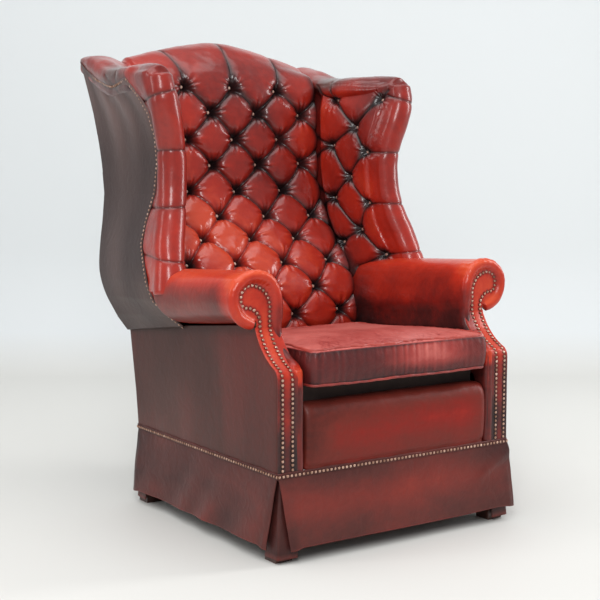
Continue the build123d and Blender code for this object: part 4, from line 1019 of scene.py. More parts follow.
def wing_pattern(points):
    """Pattern place of wing points: back along the inner face, or round the front roll."""
    x, y, z = points.T
    cx, cy = wing_line(roll_x, z), wing_line(roll_y, z)
    dx, dy = x - cx, y - cy
    angle = np.arctan2(-dy, -dx) % (2 * pi)
    on_roll = (dy < 0) | ((dx > 0.5 * roll_radius) & (y < wing_line(panel_y, z) + 0.01))
    return np.where(on_roll, cy - roll_radius * np.clip(angle, 0, 1.6 * pi), y), z


def tuft_wing(name):
    """The whole wing cover: its rough forms melted together, then buttoned and glazed."""
    forms = [front_roll, top_roll, inner_slab, saddle, panel_edge]
    cover = melted(name, forms, voxel=0.0042, rounds=7)
    points, normal = points_of(cover), normals_of(cover)
    x, y, z = points.T
    u, v = wing_pattern(points)
    tuft = tuft_height(u, v, wing_creases, wing_pillow_width, 0.48, 0.46)
    crease = crease_nearness(u, v, wing_creases, crease_width)
    valley = crease_nearness(u, v, wing_creases, valley_width)
    pits = button_pits(u, v, wing_buttons.values())
    fans = fan_wrinkles(u, v, wing_buttons.values(), 0.03)
    cx, cy = wing_line(roll_x, z), wing_line(roll_y, z)
    facing_in = smoothstep(0.15, -0.45, normal[:, 0]) * (y > cy - 0.01)
    in_front = smoothstep(0.006, -0.004, y - wing_line(panel_y, z))
    roll_share = smoothstep(cy + 0.03, cy - 0.012, y)
    roll_share = np.maximum(roll_share, in_front * (x > cx))
    top_share = smoothstep(1.048, 1.066, z)
    inner = np.clip(facing_in * (1 - roll_share), 0, 1) * (1 - top_share)
    behind = smoothstep(0.0, 0.03, wing_line(join_y, z) + 0.004 - y)
    lift = wing_rise * inner * behind * tuft - wing_pit_depth * pits * np.clip(inner + roll_share, 0, 1)
    on_face = np.clip(roll_share + top_share, 0, 1)
    lift -= (0.0016 * crease + 0.0014 * valley) * on_face + 0.001 * crease * inner
    lift += 0.0011 * fans * np.clip(inner + 0.6 * roll_share, 0, 1)
    lift += 0.0006 * slow_noise(points, 90.0, 12) + 0.0011 * slow_noise(points, 35.0, 14)
    shaped = points + normal * lift[:, None]
    back_panel = np.interp(shaped[:, 2], [0.9799, 1.0449, wing_top_z], [0.5145, 0.5369, 0.5519])
    back_panel -= behind_panel
    tucked = (shaped[:, 2] < wing_top_z) & (shaped[:, 0] < 0.347) & (shaped[:, 1] > 0.5)
    shaped[tucked, 1] = np.minimum(shaped[tucked, 1], back_panel[tucked])
    set_points(cover, shaped)
    outside = smoothstep(0.3, 0.9, normal[:, 0]) * (1 - in_front)
    cloud = slow_noise(points, 13.0, 15)
    wear_and_shading = 0.36 + 0.42 * smoothstep(0.55, 1.02, tuft) * inner - 0.6 * pits * inner - 0.26 * crease
    wear_and_shading += (0.40 - 0.1 * valley) * roll_share + 0.27 * cloud - 0.05 * outside
    saddle_dust = np.exp(-((y - 0.340) / 0.055) ** 2)
    wear_and_shading += top_share * (1 - roll_share) * (0.30 - 0.42 * saddle_dust)
    wear_and_shading -= 0.14 * roll_share * smoothstep(0.93, 0.80, z) * smoothstep(0.60, 0.70, z)
    # Painted shade: the inner face is darkened where it meets the back, in the corner's shade.
    to_back = y - np.interp(z, row_z, row_y)
    wear_and_shading -= 0.45 * smoothstep(-0.062, -0.022, to_back) * inner
    wear_and_shading -= 0.3 * near_nails(points, 0.006)
    store(cover, "wear_and_shading", wear_and_shading)
    under = smoothstep(0.010, -0.004, z - 0.012 - panel_top_z(y))
    rear_top = smoothstep(0.24, 0.28, y) * (x > 0.35) * (z > 1.0)
    low_outside = outside * smoothstep(0.7, 0.6, z)
    store(cover, "dust_and_sheen", 0.60 * top_share * saddle_dust + 0.35 * under * rear_top + 0.04 * low_outside)
    return cover


right_wing = tuft_wing("right_wing_cover")
left_wing = mirrored(right_wing, "left_wing_cover")
for wing, side in ((right_wing, "right"), (left_wing, "left")):
    dress(wing, buttoned_hide, stands_for=[side + "_wing_pad"])


# %% [markdown]
# Each wing button faces the way that the skin round it faces, on average. The left wing's
# buttons are the right ones with x turned about.

# %% Buttons of the wings
wing_button_stands = 0.0014
wing_points, wing_normals = points_of(right_wing), normals_of(right_wing)
inner_side = (wing_normals[:, 0] < -0.1) & (wing_points[:, 0] < 0.345)
places, outs = [], []
for y, z in wing_buttons.values():
    apart = np.hypot(wing_points[:, 1] - y, wing_points[:, 2] - z) + np.where(inner_side, 0, 1)
    spot = np.argsort(apart)[:24]
    out = wing_normals[spot].mean(0)
    out /= np.linalg.norm(out)
    places.append(wing_points[spot[0]] + out * wing_button_stands)
    outs.append(out)
for side, sign in (("right", 1), ("left", -1)):
    flip = np.array([sign, 1, 1])
    set_buttons(side + "_wing_button_heads", [p * flip for p in places], [o * flip for o in outs],
                [side + "_wing_buttons"])

# %% [markdown]
# The outside of a wing is a plain stretched panel: a hide over a board. It isn't dead
# flat, since the hide sinks a little between the frame's edges and hangs in soft upright
# folds under the top edge. A grid between the panel's front and rear edges carries both.

# %% Edges of the outside wing panel
panel_front = np.array([
    (0.330, 0.070, 0.468), (0.360, 0.085, 0.495), (0.385, 0.115, 0.530),
    (0.392, 0.133, 0.570), (0.388, 0.152, 0.605), (0.378, 0.185, 0.656),
    (0.363, 0.188, 0.710), (0.350, 0.166, 0.780), (0.348, 0.154, 0.850),
    (0.354, 0.153, 0.911), (0.366, 0.163, 0.965), (0.378, 0.195, 1.009),
    (0.382, 0.255, 1.049)])
panel_rear = np.array([
    (0.3285, 0.3608, 0.432), (0.345, 0.390, 0.470), (0.3535, 0.432, 0.515),
    (0.3565, 0.4595, 0.560), (0.3545, 0.4710, 0.600), (0.349, 0.4729, 0.656),
    (0.341, 0.4751, 0.710), (0.3345, 0.4771, 0.775), (0.3335, 0.4907, 0.850),
    (0.3375, 0.5020, 0.915), (0.344, 0.5145, 0.980), (0.350, 0.5369, 1.045),
    (0.3535, 0.5513, 1.085), (0.3545, 0.5680, 1.114)])
panel_rows, panel_columns = 150, 84
print("panel from %.3f to %.3f high" % (panel_front[0, 2], panel_rear[-1, 2]))


def outer_x(node, grid):
    """How far out a solid of the right side reaches at each grid point, by rays from outside."""
    mesh = nodes[node].data
    tree = BVHTree.FromPolygons([v.co for v in mesh.vertices], [p.vertices for p in mesh.polygons])
    reached = []
    for x, y, z in grid.reshape(-1, 3) + [0, chair_shift, 0]:
        hit = tree.ray_cast((0.6, y, z), (-1, 0, 0), 0.4)[0]
        reached.append(x if hit is None or hit.x < x - 0.02 else hit.x)
    return np.array(reached).reshape(grid.shape[:-1])


def outside_wing(name, sign):
    """A grid from the panel's front edge to its rear edge, thickened to a hide on its board."""
    front, rear = smooth_path(panel_front, panel_rows), smooth_path(panel_rear, panel_rows)
    share = np.linspace(0, 1, panel_columns)
    grid = front[:, None] * (1 - share[None, :, None]) + rear[:, None] * share[None, :, None]
    rise = np.linspace(0, 1, panel_rows)[:, None]
    short = panel_top_z(grid[-1, :, 1]) - grid[-1, :, 2]
    grid[..., 2] += short[None] * smoothstep(0.72, 1, rise)
    grid[..., 0] = np.maximum(outer_x("right_outside_wing", grid), grid[..., 0] - 0.004)
    inside = np.clip(4.5 * share * (1 - share), 0, 1)[None] * np.clip(6 * rise * (1.02 - rise), 0, 1)
    folds = np.sin(2 * pi * (3.1 * share[None] + 0.3 * np.sin(3 * rise))) * smoothstep(0.50, 0.97, rise)
    folds += 0.5 * np.sin(2 * pi * (7.3 * share[None] + 0.5)) * smoothstep(0.8, 1.0, rise)
    along = np.linalg.norm(grid - grid[:, :1], axis=2)
    low = slow_noise(grid, 16.0, 21)
    out = 0.0026 + inside * (0.0019 * folds + 0.0008 * low) - 0.0016 * np.exp(-along / 0.007)
    grid[..., 0] += out
    middle = np.exp(-((share[None] - 0.60) / 0.22) ** 2)
    # Painted light: the upper panel and the ridges of its folds are painted lighter as a highlight of the
    # light, and the fold valleys darker as painted shade.
    wear_and_shading = 0.14 + 0.30 * middle * (0.6 + 0.4 * low) + 0.20 * folds * inside + 0.1 * np.exp(-along / 0.012)
    wear_and_shading += 0.42 * smoothstep(0.62, 0.9, rise) * (1 - 0.6 * np.exp(-(1 - share[None]) / 0.1))
    grid = grid * [sign, 1, 1]
    piece = piece_from(name, grid, grid_faces(panel_rows, panel_columns), wear_and_shading)
    # Pale grey at the top, stronger on the folds' ridges: dust, with a painted sheen of the light on the
    # upper panel.
    dust_and_sheen = 0.45 * smoothstep(0.62, 0.92, rise) * (0.6 + 0.5 * folds) + 0.3 * middle * (0.5 + 0.5 * low)
    dust_and_sheen += 0.4 * smoothstep(0.30, 0.12, rise) * smoothstep(0.45, 0.1, share[None])
    store(piece, "dust_and_sheen", dust_and_sheen)
    face_out(piece, (sign, 0, 0))
    return backed(piece, 0.0028)


for side, sign in (("right", 1), ("left", -1)):
    panel = outside_wing(side + "_outside_wing_cover", sign)
    dress(panel, outside_hide, stands_for=[side + "_outside_wing"])

# %% [markdown]
# An arm is a roll on top of a padded wall. The hide of the inside climbs over the roll,
# and at the front it turns over a soft round nose round the scroll and down the S of the
# post. The nose is a bent tube; the roll, the wall and the tube melt into one skin again.

# %% Section of the arm roll
roll_start, roll_stop = -0.2337, 0.262
roll_width = 0.139
roll_corners = np.array([
    (0.0, 0.0), (0.0, 0.38), (0.15, 0.86), (0.5, 1.0), (0.88, 0.87), (1.0, 0.54),
    (0.95, 0.26), (0.76, 0.09), (0.5, 0.02), (0.25, 0.0)])


def roll_outline(y, shrink=0.0, count=56):
    """Outline of the arm roll at y, drawn in by shrink metres."""
    share = (y - roll_start) / (roll_stop - roll_start)
    low, high = 0.503 - 0.050 * share, 0.621 - 0.024 * share
    middle = np.array([arm_inner + roll_width / 2, (low + high) / 2])
    outline = np.array([arm_inner, low]) + roll_corners * [roll_width, high - low]
    outline = middle + (outline - middle) * (1 - shrink / 0.065)
    ring = smooth_path(outline, count, closed=True)
    return np.stack([ring[:, 0], np.full(count, y), ring[:, 1]], axis=1)


roll_rings = [roll_outline(y, 0.0012) for y in np.linspace(-0.231, 0.200, 60)]
arm_roll = ring_tube([roll_outline(-0.2375, 0.010)] + roll_rings + [roll_outline(0.240, 0.008)])
print("arm roll:", len(arm_roll[0]), "points")

# %% [markdown]
# The nose is a tube on a bent path: up the S of the post and once round the scroll.

# %% Nose round the front of an arm
s_front = [(-0.3215, 0.192), (-0.3215, 0.392), (-0.3185, 0.406), (-0.308, 0.4165),
           (-0.290, 0.4245), (-0.262, 0.444), (-0.245, 0.466), (-0.2375, 0.494)]
nose_behind = 0.0085
nose_line = [(0.2700, y + nose_behind, z) for y, z in s_front]
nose_line += [
    (0.2690, -0.2335, 0.530), (0.2735, -0.2345, 0.568), (0.2900, -0.2350, 0.597),
    (0.3200, -0.2350, 0.6085), (0.3520, -0.2350, 0.603), (0.3765, -0.2350, 0.579),
    (0.3790, -0.2350, 0.550), (0.3670, -0.2345, 0.524), (0.3490, -0.2335, 0.510),
    (0.3300, -0.2320, 0.503)]
nose_path = smooth_path(nose_line, 150)
nose_radius = np.interp(np.linspace(0, 1, 150), [0, 0.42, 0.55, 1.0], [0.0135, 0.0138, 0.0152, 0.0132])
nose = ring_tube(round_tube(nose_path, nose_radius, 28))
print("nose:", len(nose[0]), "points")

# %% [markdown]
# The wall is a thin slab with the S at its front. It closes the gap under the roll.

# %% Padded wall inside an arm
wall_side = [
    (-0.309, 0.196), (-0.309, 0.390), (-0.302, 0.409), (-0.286, 0.418), (-0.256, 0.438),
    (-0.236, 0.462), (-0.228, 0.500), (-0.228, 0.530), (0.235, 0.500), (0.235, 0.470),
    (0.206, 0.440), (0.206, 0.350), (-0.28, 0.350), (-0.29, 0.196)]
arm_wall = ring_tube([[(x, y, z) for y, z in wall_side] for x in (0.2565, 0.262, 0.270)])
print("wall:", len(arm_wall[0]), "points")

# %% [markdown]
# Behind the wing's front edge the arm's cover is pushed inward, so that it ends under the
# wing's outside panel. The hide puckers round the scroll, shines where arms lie, and is
# rubbed down to red at the knee of the S.

# %% Cover of an arm
scroll_x, scroll_z = 0.325, 0.553


def arm_cover(name):
    """Roll, nose and inner wall of an arm under one hide."""
    cover = melted(name, [arm_roll, nose, arm_wall], voxel=0.004, rounds=5)
    points = points_of(cover)
    past_wing = points[:, 1] - np.interp(points[:, 2], panel_front[:5, 2], panel_front[:5, 1])
    inward = 0.015 * smoothstep(-0.022, 0.004, past_wing) + 0.016 * smoothstep(0.010, 0.050, past_wing)
    points[:, 0] -= smoothstep(0.30, 0.33, points[:, 0]) * inward
    set_points(cover, points)
    normal = normals_of(cover)
    x, y, z = points.T
    low = slow_noise(points, 18.0, 31)
    ripple = slow_noise(points * [1, 0.6, 1.6], 95.0, 33)
    top = smoothstep(-0.1, 0.8, normal[:, 2])
    near_nose = smoothstep(-0.17, -0.236, y) * (z > 0.49)
    on_roll = smoothstep(0.480, 0.515, z)
    turn = np.arctan2(z - scroll_z, x - scroll_x)
    pucker_share = smoothstep(-0.252, -0.243, y) * smoothstep(0.55, 0.58, z)
    puckers = np.cos(23 * turn + 2.0 * np.sin(3 * turn)) * near_nose * pucker_share
    lift = 0.0011 * low + 0.00045 * ripple + 0.0004 * puckers
    set_points(cover, points + normal * lift[:, None])
    outer_low = smoothstep(0.32, 0.385, x) * smoothstep(0.605, 0.55, z)
    outer_low = outer_low * (1 - near_nose)
    inner_wall = smoothstep(-0.3, -0.85, normal[:, 0]) * (1 - on_roll * 0.6)
    strip = smoothstep(0.505, 0.485, z) * smoothstep(-0.22, -0.235, y)
    rubbed = np.interp(z, [0.30, 0.374, 0.388, 0.412, 0.428, 0.450, 0.480, 0.50],
                       [0.24, 0.27, 0.76, 0.86, 0.44, 0.24, 0.28, 0.46])
    wear_and_shading = 0.53 + 0.33 * top * on_roll + 0.3 * near_nose + 0.14 * low - 0.10 * outer_low - 0.27 * inner_wall
    wear_and_shading -= 0.12 * smoothstep(0.08, 0.19, y)
    wear_and_shading -= 0.2 * smoothstep(0.475, 0.40, z) * inner_wall
    wear_and_shading -= 0.30 * near_nose * smoothstep(0.585, 0.52, z) * smoothstep(0.29, 0.27, x)
    wear_and_shading = wear_and_shading * (1 - strip) + strip * (rubbed + 0.1 * low)
    wear_and_shading -= 0.5 * near_nails(points, 0.0055)
    store(cover, "wear_and_shading", wear_and_shading)
    side_low = smoothstep(0.33, 0.375, x) * smoothstep(0.592, 0.535, z)
    dust_and_sheen = side_low * (z > 0.49) * (1 - near_nose) * (0.52 + 0.5 * low)
    store(cover, "dust_and_sheen", dust_and_sheen + 0.05 * strip * smoothstep(0.375, 0.36, z))
    return cover


right_arm = arm_cover("right_arm_cover")
left_arm = mirrored(right_arm, "left_arm_cover")
for arm, side in ((right_arm, "right"), (left_arm, "left")):
    dress(arm, arm_hide, stands_for=[side + "_arm_pad"])

# %% [markdown]
# The panel under the arm is a hide stretched over an open frame. It sinks between its
# edges by a millimetre or two and pulls in short waves where it is nailed along the rail.


# %% Side panels under the arms
side_x, side_foot_z = 0.3236, 0.1925
side_rows, side_columns = 120, 180
side_front = smooth_path([
    (-0.3208, side_foot_z), (-0.3208, 0.300), (-0.3208, 0.392),
    (-0.3172, 0.4075), (-0.3070, 0.4168), (-0.286, 0.4280),
    (-0.2605, 0.4495), (-0.2430, 0.4730), (-0.2340, 0.5010)], side_rows)
side_rear = np.array([(0.3225, side_foot_z), (0.3335, 0.2813), (0.3475, 0.3558), (0.3615, 0.4300),
                      (0.3630, 0.4365)])
under_roll_z, under_roll_drop = 0.5020, 0.0505
roll_length = roll_stop - roll_start


def side_panel(name, sign):
    """The outside arm panel: a stretched hide that sinks a little between its edges."""
    z = side_front[:, 1][:, None]
    under_roll = roll_start + (under_roll_z - z) / under_roll_drop * roll_length
    rear_y = np.minimum(np.interp(z, side_rear[:, 1], side_rear[:, 0]), under_roll)
    share = np.linspace(0, 1, side_columns)[None, :]
    y = side_front[:, 0][:, None] * (1 - share) + rear_y * share
    z = z * np.ones_like(y)
    top_z = np.maximum(under_roll_z - (y - roll_start) / roll_length * under_roll_drop, 0.2)
    up = (z - side_foot_z) / (top_z - side_foot_z)
    grid = np.stack([np.full(y.shape, side_x), y, z], axis=2)
    inside = np.clip(5 * share * (1 - share), 0, 1) * np.clip(6 * up * (1 - up), 0, 1)
    low = slow_noise(grid, 14.0, 41)
    pulls = np.sin(2 * pi * (5.5 * share + 0.25 * np.sin(4 * up))) * smoothstep(0.25, 0.0, up)
    to_front = np.abs(y - side_front[:, 0][:, None])
    grid[..., 0] += 0.0014 + inside * (0.0011 * low - 0.0012) + 0.0005 * pulls
    grid[..., 0] -= 0.0014 * np.exp(-to_front / 0.005)
    broad = slow_noise(grid * [1, 1, 0.6], 9.0, 44)
    wear_and_shading = 0.44 + 0.16 * low + 0.24 * broad * smoothstep(0.1, 0.6, up) + 0.1 * np.exp(-to_front / 0.05)
    # Painted shadow: the top of the panel is darkened under the arm roll.
    wear_and_shading -= 0.2 * smoothstep(0.9, 1, up)
    piece = piece_from(name, grid * [sign, 1, 1], grid_faces(side_rows, side_columns), wear_and_shading)
    store(piece, "dust_and_sheen", 0.06 - 0.30 * broad + 0.06 * smoothstep(0.4, 0.0, up))
    face_out(piece, (sign, 0, 0))
    return backed(piece, 0.0026)


side_hide = antique_hide(
    "side_hide",
    [(0.0, (0.022, 0.011, 0.0095)), (0.4, (0.064, 0.022, 0.018)),
     (0.75, (0.140, 0.024, 0.019)), (1.0, (0.23, 0.026, 0.017))],
    roughness=0.38, blotch=0.36, blotch_scale=3.6, streak=(1, 1.4, 0.5), wrinkles=0.25,
    coat=0.04, shine=0.22)
for side, sign in (("right", 1), ("left", -1)):
    dress(side_panel(side + "_outside_arm_cover", sign), side_hide,
          stands_for=[side + "_outside_arm"])

# %% [markdown]
# The outside back is one panel from crest to rail. Nobody rubs it, so it keeps its dark
# glaze. Its edges turn in over the frame, and the hide dips slightly between them.

# %% Outside back
rear_line = np.array([
    (0.3211, 0.192, 0.325), (0.3321, 0.2813, 0.325), (0.3461, 0.3558, 0.325),
    (0.3611, 0.4315, 0.326), (0.390, 0.4704, 0.3445), (0.4323, 0.5154, 0.352),
    (0.4599, 0.5603, 0.354), (0.4713, 0.6005, 0.352), (0.4729, 0.656, 0.3465),
    (0.4752, 0.7104, 0.338), (0.4771, 0.7754, 0.3315), (0.4908, 0.8499, 0.3309),
    (0.5021, 0.9149, 0.3348), (0.5145, 0.9799, 0.3413), (0.5369, 1.0449, 0.3471),
    (0.5519, wing_top_z, 0.351), (0.5535, 1.0930, 0.351)])
rear_rows, rear_columns = 260, 150
rear_spine = smooth_path(rear_line, rear_rows)
across, rise = np.linspace(-1, 1, rear_columns), np.linspace(0, 1, rear_rows)
back_grid = np.zeros((rear_rows, rear_columns, 3))
back_grid[..., 0] = across[None] * (rear_spine[:, 2:3] - 0.0005)
back_grid[..., 1] = rear_spine[:, 0:1] + 0.0030
back_grid[..., 2] = rear_spine[:, 1:2]
dip = np.clip(3 * (1 - across ** 2), 0, 1)[None] * np.clip(9 * rise * (1 - rise), 0, 1)[:, None]
sag = slow_noise(back_grid, 11.0, 51)
turned_edge = np.exp(-(1 - np.abs(across)) / 0.018)
back_grid[..., 1] += dip * (0.0012 * sag - 0.0012) - 0.0022 * turned_edge[None]
rear_faces = grid_faces(rear_rows, rear_columns)
outside_back = piece_from("outside_back_cover", back_grid, rear_faces, 0.3 + 0.2 * sag)
face_out(outside_back, (0, 1, 0))
dress(backed(outside_back, 0.0026), outside_hide, stands_for=["outside_back"])

# %% [markdown]
# The facing strip was drawn with its exact outline in the solids. The same outline gets a
# soft edge here by remeshing a copy finely and smoothing it, and each nail draws the hide
# in a little. Where hands rub it, at the knee and the neck, the red shows through.


# %% Facings of the arms
def facing_cover(side):
    """The facing's strip and scroll with a softened edge and a dimple at each nail."""
    node = nodes[side + "_arm_facing"]
    cover = node.copy()
    cover.data = node.data.copy()
    cover.name = side + "_arm_facing_cover"
    bpy.context.scene.collection.objects.link(cover)
    worked(cover, [("REMESH", {"mode": "VOXEL", "voxel_size": 0.0015}),
                   ("SMOOTH", {"factor": 0.5, "iterations": 3})])
    points, normal = points_of(cover), normals_of(cover)
    from_middle, height = np.abs(points[:, 0]), points[:, 2]
    near = near_nails(points, 0.0052)
    low = slow_noise(points, 60.0, 61)
    set_points(cover, points + normal * (0.0004 + 0.0003 * low - 0.0011 * near)[:, None])
    wear_and_shading = 0.46 + 0.32 * smoothstep(0.36, 0.44, height) - 0.22 * smoothstep(0.33, 0.22, height) + 0.12 * low
    wear_and_shading -= (0.42 + 0.36 * smoothstep(0.47, 0.52, height)) * near
    between = smoothstep(0.284, 0.290, from_middle) * smoothstep(0.317, 0.311, from_middle)
    on_strip = smoothstep(0.41, 0.39, height)
    wear_and_shading -= on_strip * (1 - between) * 0.17
    on_neck = smoothstep(0.42, 0.45, height) * smoothstep(0.575, 0.545, height)
    wear_and_shading -= 0.26 * smoothstep(0.290, 0.281, from_middle) * on_neck
    store(cover, "wear_and_shading", wear_and_shading)
    store(cover, "dust_and_sheen", 0.08 * on_strip * (1 - between) * (1 - near))
    return dress(cover, arm_hide, stands_for=[side + "_arm_facing"])


for side in ("right", "left"):
    facing_cover(side)

# %% [markdown]
# The apron is a padded panel under the cushion. Its top edge is rolled, its ends tuck in
# behind the posts, and the glaze is worn through in one blotchy band where legs rub.

# %% Form of the apron
apron_side = [
    (-0.3222, 0.1925), (-0.3238, 0.2005), (-0.3290, 0.2120), (-0.3322, 0.2400),
    (-0.3330, 0.2750), (-0.3318, 0.3000), (-0.3268, 0.3200), (-0.3165, 0.3330),
    (-0.3030, 0.3380), (-0.2870, 0.3380), (-0.2760, 0.333), (-0.2745, 0.300),
    (-0.2745, 0.200), (-0.2800, 0.1925)]
apron_half, tuck_depth = 0.2545, 0.020
apron_middle = np.array([-0.300, 0.270])
end_xs = [0.2520, 0.2538, apron_half]
side_view = smooth_path(apron_side, 110, closed=True)
apron_rings = []
for x in np.concatenate([np.negative(end_xs[::-1]), np.linspace(-0.249, 0.249, 150), end_xs]):
    tuck = np.clip((abs(x) - (apron_half - tuck_depth)) / tuck_depth, 0, 1)
    draw = 1 - np.sqrt(np.maximum(1 - tuck ** 2, 0))
    shrink = np.array([0.013 * draw / 0.033, 0.006 * draw / 0.077])
    apron_rings.append([(x, y, z) for y, z in apron_middle + (side_view - apron_middle) * (1 - shrink)])
apron = piece_from("front_apron_cover", *ring_tube(apron_rings))
face_out(apron, (0, -1, 0), at=np.argmin(points_of(apron)[:, 1]))

# %% [markdown]
# Stretched hide is never dead even: it swells a little, and pulls at its nailed top edge.

# %% Relief and wear of the apron
points, normal = points_of(apron), normals_of(apron)
x, y, z = points.T
low, wide = slow_noise(points * [0.5, 1, 1], 22.0, 71), slow_noise(points * [1, 1, 0.4], 42.0, 73)
pull_pitch = 0.083
pull = np.sin(x * 2 * pi / pull_pitch + 1.7 * np.sin(x * 19))
pull *= smoothstep(0.315, 0.342, z)
set_points(apron, points + normal * (0.0009 * low + 0.0003 * wide + 0.0005 * pull)[:, None])
band = np.exp(-((z - 0.268 - 0.04 * x) / 0.040) ** 2)
ends = smoothstep(0.250, 0.17, np.abs(x))
store(apron, "wear_and_shading", 0.27 + 0.52 * band * ends * (0.75 + 0.35 * low) + 0.05 * wide)
dress(apron, apron_hide, stands_for=["front_apron_pad"])

# %% [markdown]
# The seat cushion is the one loose part. Its cover is made like the real one: a closed bag
# with two seams. The seams are pinned, air pressure blows the panels out between them, and
# the result is frozen. The feathers' lumps, the puckers of the gathered border and the
# creases on the sitting side are worked into the frozen mesh.

# %% Outline of the cushion
cushion_front, cushion_rear, cushion_half = -0.3435, 0.160, 0.2495
cushion_middle, cushion_half_deep = (cushion_rear + cushion_front) / 2, (cushion_rear - cushion_front) / 2
cushion_corner = 0.022
seam_low, seam_high = 0.377, 0.453


def round_corners(half_x, half_y, radius, step, middle_y=0.0):
    """Plan of a rectangle with round corners, as points (x, y) that end where they start."""
    plan = []
    for sx, sy, start in ((1, -1, -90), (1, 1, 0), (-1, 1, 90), (-1, -1, 180)):
        for angle in np.radians(start + np.arange(0, 91, step)):
            plan.append((sx * (half_x - radius) + radius * cos(angle),
                         middle_y + sy * (half_y - radius) + radius * sin(angle)))
    return np.array(plan + [plan[0]])


def cushion_outline(count, grow):
    """The cushion's plan, grown by some metres, as count even points (x, y)."""
    plan = round_corners(cushion_half + grow, cushion_half_deep + grow, cushion_corner, 10, cushion_middle)
    return evenly(plan, count, closed=True)


def cushion_inset(plan):
    """How far inside the cushion's outline each plan point lies."""
    half = np.array([cushion_half, cushion_half_deep])
    q = np.abs(plan - [0, cushion_middle]) - half + cushion_corner
    outside = np.hypot(np.maximum(q[:, 0], 0), np.maximum(q[:, 1], 0)) + np.minimum(q.max(1), 0)
    return cushion_corner - outside


print("cushion: %.3f wide, %.3f deep" % (2 * cushion_half, 2 * cushion_half_deep))


# %% [markdown]
# A feather cushion gives most where people sit, so its upper part sinks towards the rear.
# Cover, piping and filling all pass through this one function and stay together.

# %% How the rear of the cushion is pressed down
pressed_by, pressed_from, pressed_to = 0.021, -0.27, 0.13


def pressed(points):
    """Lowers the upper part of the cushion towards the rear, where people sit."""
    share_up = np.clip((points[:, 2] - seam_low) / (seam_high - seam_low), 0, 1)
    lower = points.copy()
    lower[:, 2] -= pressed_by * share_up * smoothstep(pressed_from, pressed_to, points[:, 1])
    return lower


# %% [markdown]
# The bag is a stack of outlines. The cloth run moves it by millimetres, and limits keep the
# puffed cover clear of the arms.

# %% The cushion's bag, blown up between its seams
cushion_levels = [
    (0.3695, -0.0615), (0.3705, -0.0315), (0.3745, -0.0095), (0.3780, -0.0030),
    (0.392, 0.0), (0.415, 0.0015), (0.438, 0.0), (0.4515, -0.0030),
    (0.4535, -0.0075), (0.4600, -0.0465), (0.4625, -0.1015), (0.4635, -0.1615)]
cloth_steps = 20
puff_cap, puff_lowest, puff_highest = 0.010, [-0.004, -0.006, -0.002], [0.004, 0.004, 0.009]


def stacked(levels, count):
    """A closed tube through the cushion's outline at several heights."""
    return ring_tube([np.column_stack([cushion_outline(count, grow), np.full(count, z)])
                      for z, grow in levels])


def cushion_bag():
    """Stacked outlines, remeshed to even squares, then puffed by a short cloth run."""
    bag = melted("seat_cushion_cover_puffed", [stacked(cushion_levels, 240)], voxel=0.006, rounds=2, finer=0)
    start = points_of(bag)
    edge = np.abs(np.stack([start[:, 2] - seam_low, start[:, 2] - seam_high])).min(0)
    inset = cushion_inset(start[:, :2])
    seams = (edge < 0.006) & (inset < 0.010)
    group = bag.vertex_groups.new(name="seams")
    group.add([int(i) for i in np.nonzero(seams)[0]], 1.0, "REPLACE")
    cloth = bag.modifiers.new("air", "CLOTH")
    cloth.settings.use_pressure = True
    cloth.settings.uniform_pressure_force = 3.0
    cloth.settings.effector_weights.gravity = 0
    cloth.settings.vertex_group_mass = "seams"
    cloth.settings.tension_stiffness = 25
    cloth.settings.bending_stiffness = 2
    cloth.point_cache.frame_end = cloth_steps
    for step in range(1, cloth_steps + 1):
        bpy.context.scene.frame_set(step)
    applied(bag)
    bpy.context.scene.frame_set(1)
    moved = points_of(bag) - start
    far = np.linalg.norm(moved, axis=1)
    kept = np.minimum(far, puff_cap + 0.25 * np.maximum(far - puff_cap, 0))
    moved *= (kept / np.maximum(far, 1e-9))[:, None]
    set_points(bag, start + np.clip(moved, puff_lowest, puff_highest))
    print("cushion puffed by up to", round(float(far.max()), 4), "m")
    return worked(bag, [("SUBSURF", {"levels": 1, "render_levels": 1})])


cushion = cushion_bag()

# %% [markdown]
# The border was gathered when it was sewn, so upright puckers run down from the top seam
# and up from the lower one. They are waves along the girth, of two uneven pitches.

# %% Puckers of the cushion's border
pipe_middle = -0.091
wide_pucker, narrow_pucker = 0.021, 0.0125
points, normal = points_of(cushion), normals_of(cushion)
x, y, z = points.T
inset = cushion_inset(points[:, :2])
at_sides = np.abs(x) * 0.251 > np.abs(y - pipe_middle) * 0.248
girth = np.where(at_sides, y, x)
on_border = smoothstep(0.016, 0.004, inset) * smoothstep(0.5, 0.2, np.abs(normal[:, 2]))
from_top = np.clip((seam_high - z) / (seam_high - seam_low), 0, 1)
gather = np.sin(girth * 2 * pi / wide_pucker + 2.1 * np.sin(girth * 31))
gather += 0.6 * np.sin(girth * 2 * pi / narrow_pucker + 3 * np.sin(girth * 17))
gather *= 0.65 + 0.35 * np.sin(girth * 23 + 1)
pucker = on_border * gather * (0.9 * np.exp(-from_top / 0.35) + 0.6 * np.exp(-(1 - from_top) / 0.22))
print("border points:", int((on_border > 0.5).sum()))

# %% [markdown]
# Sitting presses short creases into the front of the top. Each is a narrow valley with its
# own place, direction and bend, drawn by chance but always the same.

